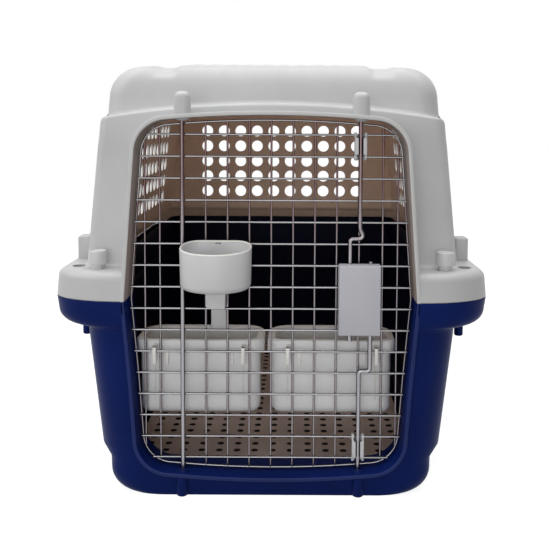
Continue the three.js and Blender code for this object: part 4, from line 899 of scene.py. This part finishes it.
def bowl_body(x):
    """A bowl: its outside, rim and inside in one skin, with its hooks and ribs."""
    bm = bmesh.new()
    rings = [body_ring(x, BOWL_EDGE * inward, BOWL_BOTTOM + BOWL_EDGE * up) for inward, up in quarter_round()]
    rings.append(body_ring(x, 0, BODY_TOP))
    rings += [rim_ring(x, inset, height) for inset, height in ((0.5, 161.2), (0, 161.8), (0, RIM_TOP))]
    rings.append(body_ring(x, BOWL_WALL, RIM_TOP))
    for inward, up in reversed(quarter_round()):
        edge = BOWL_EDGE - BOWL_WALL
        rings.append(body_ring(x, BOWL_WALL + edge * inward, BOWL_BOTTOM + BOWL_WALL + edge * up))
    skin(bm, rings)
    outwards(bm)
    cut(bm, seam_cuts(x))
    plain = len(bm.faces)
    for side in (-1, 1):
        hook = x + side * HOOK_OUT
        front = CASE_BACK - 2.4
        block(bm, (hook - 2, front, 169.4), (hook + 2, BOWL_FRONT + 2.4, HOOK_TOP), edge=0.6, segments=2)
        block(bm, (hook - 2, front, 150.6), (hook + 2, CASE_BACK, HOOK_TOP), edge=0.6, segments=2)
        rib = x + side * RIB_OUT
        block(bm, (rib - 1.8, BOWL_FRONT - 1.5, 148), (rib + 1.8, BOWL_FRONT + 2.6, 161.5),
              edge=0.6, segments=2)
    # Hooks and ribs get the brighter white, a painted highlight.
    bm.faces.ensure_lookup_table()
    for face in bm.faces[plain:]:
        face.material_index = 1
    outwards(bm)
    # Faces turned in below the rim get the third material, painted warm shade.
    middle_y = (BOWL_FRONT + BOWL_BACK) / 2
    for face in bm.faces[:plain]:
        middle = face.calc_center_median()
        outward = face.normal.x * (middle.x - x) + face.normal.y * (middle.y - middle_y)
        if outward < 0 and middle.z < RIM_TOP - 2:
            face.material_index = 2
    return bm


def bowl_lid(x):
    """A lid that laps the bowl's rim, with a collar that stands in the bowl."""
    bm = bmesh.new()
    rings = [rim_ring(x, inset, height) for inset, height in LID_SIDE]
    rings += [body_ring(x, inset, height) for inset, height in LID_MOUTH]
    rings.append(rim_ring(x, 2.2, 174))
    skin(bm, rings, joined=True)
    outwards(bm)
    cut(bm, seam_cuts(x))
    # The lid's up-facing top faces get the brighter white, a painted highlight.
    for face in bm.faces:
        if face.normal.z > 0.6 and face.calc_center_median().z > LID_TOP - 1.5:
            face.material_index = 1
    return bm


bowl_white = moulded_plastic("bowl plastic", (231, 230, 230), (237, 236, 236), 0.4)
# Painted shade: a darker, warmer copy of the bowl white for the bowls' insides.
bowl_inside_painted_shade = moulded_plastic("bowl inside painted shade", (206, 190, 160), (212, 196, 166), 0.5)
# Painted highlight: a brighter white for the hooks, ribs, lid tops and the cup's rim.
painted_highlight_white = moulded_plastic("painted highlight plastic", (240, 238, 233), (245, 243, 238), 0.4)

for side, x in (("left", -83.0), ("right", 70.5)):
    finished(f"{side}_hanging_bowl", bowl_body(x), f"{side}_bowl_body",
             [bowl_white, painted_highlight_white, bowl_inside_painted_shade], [f"{side}_bowl"])
    finished(f"{side}_lid", bowl_lid(x), f"{side}_lid_body", [bowl_white, painted_highlight_white],
             [f"{side}_bowl_lid"])


# Water funnel: a deep white cup in front of the door, whose square neck passes between the
# wires to a spout over the left bowl.
CUP_MIDDLE = -60.25
CUP_HALF = 39.75
CUP_FRONT = -397.0
CUP_WALL = 2.0
CUP_BOTTOM = 244.5
CUP_TAPER = 0.8
CUP_FOOT = 7.0
CUP_RIM = 287.0
CUP_RIM_SECTION = ((0, CUP_RIM), (0.3, 287.9), (1, 288.3), (1.7, 287.9), (CUP_WALL, CUP_RIM))
CUP_BACK_RISE = 6.0
NECK_X = -61.5
NECK_FRONT = -353.0
SPOUT_HALF = 8.75
SPOUT_BACK = -305.9
SPOUT_TOP = 230.0


def cup_ring(inset, height, tilt=0.0):
    """A ring with wide corners in front, which tilt raises at the back."""
    back = CASE_BACK - min(inset, CUP_WALL)
    front = CUP_FRONT + inset
    ring = rounded(CUP_HALF - inset, (back - front) / 2, 37 - inset / 2, 34 - inset / 2, height,
                   back=(18 - inset / 2, 25 - inset / 2), middle=(CUP_MIDDLE, (back + front) / 2))
    for point in ring:
        point.z += tilt * (point.y - front) / (back - front)
    return ring


funnel = bmesh.new()
cup = [cup_ring(CUP_TAPER + CUP_FOOT * inward, CUP_BOTTOM + CUP_FOOT * up) for inward, up in quarter_round()]
cup += [cup_ring(inset, height, CUP_BACK_RISE) for inset, height in CUP_RIM_SECTION]
for inward, up in reversed(quarter_round()):
    edge = CUP_FOOT - CUP_WALL
    cup.append(cup_ring(CUP_TAPER + CUP_WALL + edge * inward, CUP_BOTTOM + CUP_WALL + edge * up))
skin(funnel, cup)
outwards(funnel)
slot = bmesh.new()
block(slot, (CUP_MIDDLE - 3.3, CASE_BACK - 6, 290.2), (CUP_MIDDLE + 3.3, CASE_BACK + 3, 291.8))
cut(funnel, slot)
neck_corners = ((-1, NECK_FRONT), (1, NECK_FRONT), (1, CASE_BACK), (-1, CASE_BACK))
skin(funnel, [[Vector((NECK_X + side * half, y, z)) for side, y in neck_corners]
              for half, z in ((10, 219.5), (11.5, 247))])
spout_left, spout_right = NECK_X - SPOUT_HALF, NECK_X + SPOUT_HALF
block(funnel, (spout_left, -351, 219), (spout_right, SPOUT_BACK, SPOUT_TOP), edge=1)
block(funnel, (spout_left, -318.9, 188), (spout_right, SPOUT_BACK, SPOUT_TOP), edge=1)
outwards(funnel)
# The rim's upper faces get the brighter white, a painted highlight.
for face in funnel.faces:
    if face.calc_center_median().z > CUP_RIM and face.normal.z > 0.3:
        face.material_index = 1
finished("funnel", funnel, "funnel", [white, painted_highlight_white], ["water_funnel"])


# Stage: a plain pale floor and an even white surround, with soft lamps overhead and in front.
# The camera stands in front at the height of the doorway's top, a little right of the middle,
# and looks slightly down.
CAMERA_PLACE = (0.0284, -1.1942, 0.430)
CAMERA_DOWN = 3.48
CAMERA_ROLL = 0.31
SENSOR = 36
FOCAL_SHARE = 760 / 550
SHIFT_SHARE = (-21.4 / 550, -107.3 / 550)


def seen_by_camera(nodes, links, unseen, strength):
    """One strength for the light on the object, another where camera, metal or glass sees it."""
    path = nodes.new("ShaderNodeLightPath")
    mirrored = nodes.new("ShaderNodeMath")
    mirrored.operation = "MAXIMUM"
    seen = nodes.new("ShaderNodeMath")
    seen.operation = "MAXIMUM"
    level = nodes.new("ShaderNodeMapRange")
    level.inputs["To Min"].default_value = unseen
    level.inputs["To Max"].default_value = strength
    links.new(path.outputs["Is Glossy Ray"], mirrored.inputs[0])
    links.new(path.outputs["Is Transmission Ray"], mirrored.inputs[1])
    links.new(path.outputs["Is Camera Ray"], seen.inputs[0])
    links.new(mirrored.outputs["Value"], seen.inputs[1])
    links.new(seen.outputs["Value"], level.inputs["Value"])
    return level.outputs["Result"]


def pale_floor():
    """A pale floor whose own glow, seen by the camera and by reflections, leaves only the shadow."""
    material = bpy.data.materials.new("pale floor")
    material.use_nodes = True
    nodes, links = material.node_tree.nodes, material.node_tree.links
    shader = nodes["Principled BSDF"]
    shader.inputs["Base Color"].default_value = linear(176, 176, 176)
    shader.inputs["Roughness"].default_value = 0.9
    shader.inputs["Specular IOR Level"].default_value = 0.1
    shader.inputs["Emission Color"].default_value = (1, 1, 1, 1)
    links.new(seen_by_camera(nodes, links, 0.0, 0.87), shader.inputs["Emission Strength"])
    return material


def lamp(name, place, target, width, height, power):
    """A soft lamp turned towards its target."""
    data = bpy.data.lights.new(name, "AREA")
    data.shape = "RECTANGLE"
    data.size = width
    data.size_y = height
    data.energy = power
    light = bpy.data.objects.new(name, data)
    light.location = place
    light.rotation_euler = (Vector(target) - Vector(place)).to_track_quat("-Z", "Y").to_euler()
    bpy.context.scene.collection.objects.link(light)


floor = bmesh.new()
bmesh.ops.create_grid(floor, x_segments=1, y_segments=1, size=8)
floor_mesh = bpy.data.meshes.new("floor")
floor.to_mesh(floor_mesh)
floor.free()
floor_mesh.materials.append(pale_floor())
floor_piece = bpy.data.objects.new("floor", floor_mesh)
bpy.context.scene.collection.objects.link(floor_piece)

lamp("overhead", (0.0, -0.3, 2.2), (0, 0, 0.3), 2.4, 2.0, 41)
lamp("high left", (-1.7, -0.7, 1.2), (-0.1, 0, 0.25), 1.2, 1.2, 8)
lamp("front left", (-1.8, -2.0, 1.1), (0, 0, 0.25), 1.4, 1.4, 3)
lamp("front middle", (-0.3, -2.6, 0.5), (0, 0, 0.25), 1.2, 1.0, 10)

world = bpy.data.worlds.new("surround")
bpy.context.scene.world = world
world.use_nodes = True
nodes, links = world.node_tree.nodes, world.node_tree.links
surround = nodes["Background"]
surround.inputs["Color"].default_value = (1, 1, 1, 1)
links.new(seen_by_camera(nodes, links, 0.22, 1.0), surround.inputs["Strength"])

camera_data = bpy.data.cameras.new("camera")
camera_data.sensor_width = SENSOR
camera_data.lens = SENSOR * FOCAL_SHARE
camera_data.shift_x, camera_data.shift_y = SHIFT_SHARE
camera = bpy.data.objects.new("camera", camera_data)
camera.location = CAMERA_PLACE
tilt = Matrix.Rotation(radians(90 - CAMERA_DOWN), 3, "X") @ Matrix.Rotation(radians(CAMERA_ROLL), 3, "Z")
camera.rotation_euler = tilt.to_euler()
bpy.context.scene.collection.objects.link(camera)
bpy.context.scene.camera = camera
bpy.context.scene.view_settings.view_transform = "Standard"
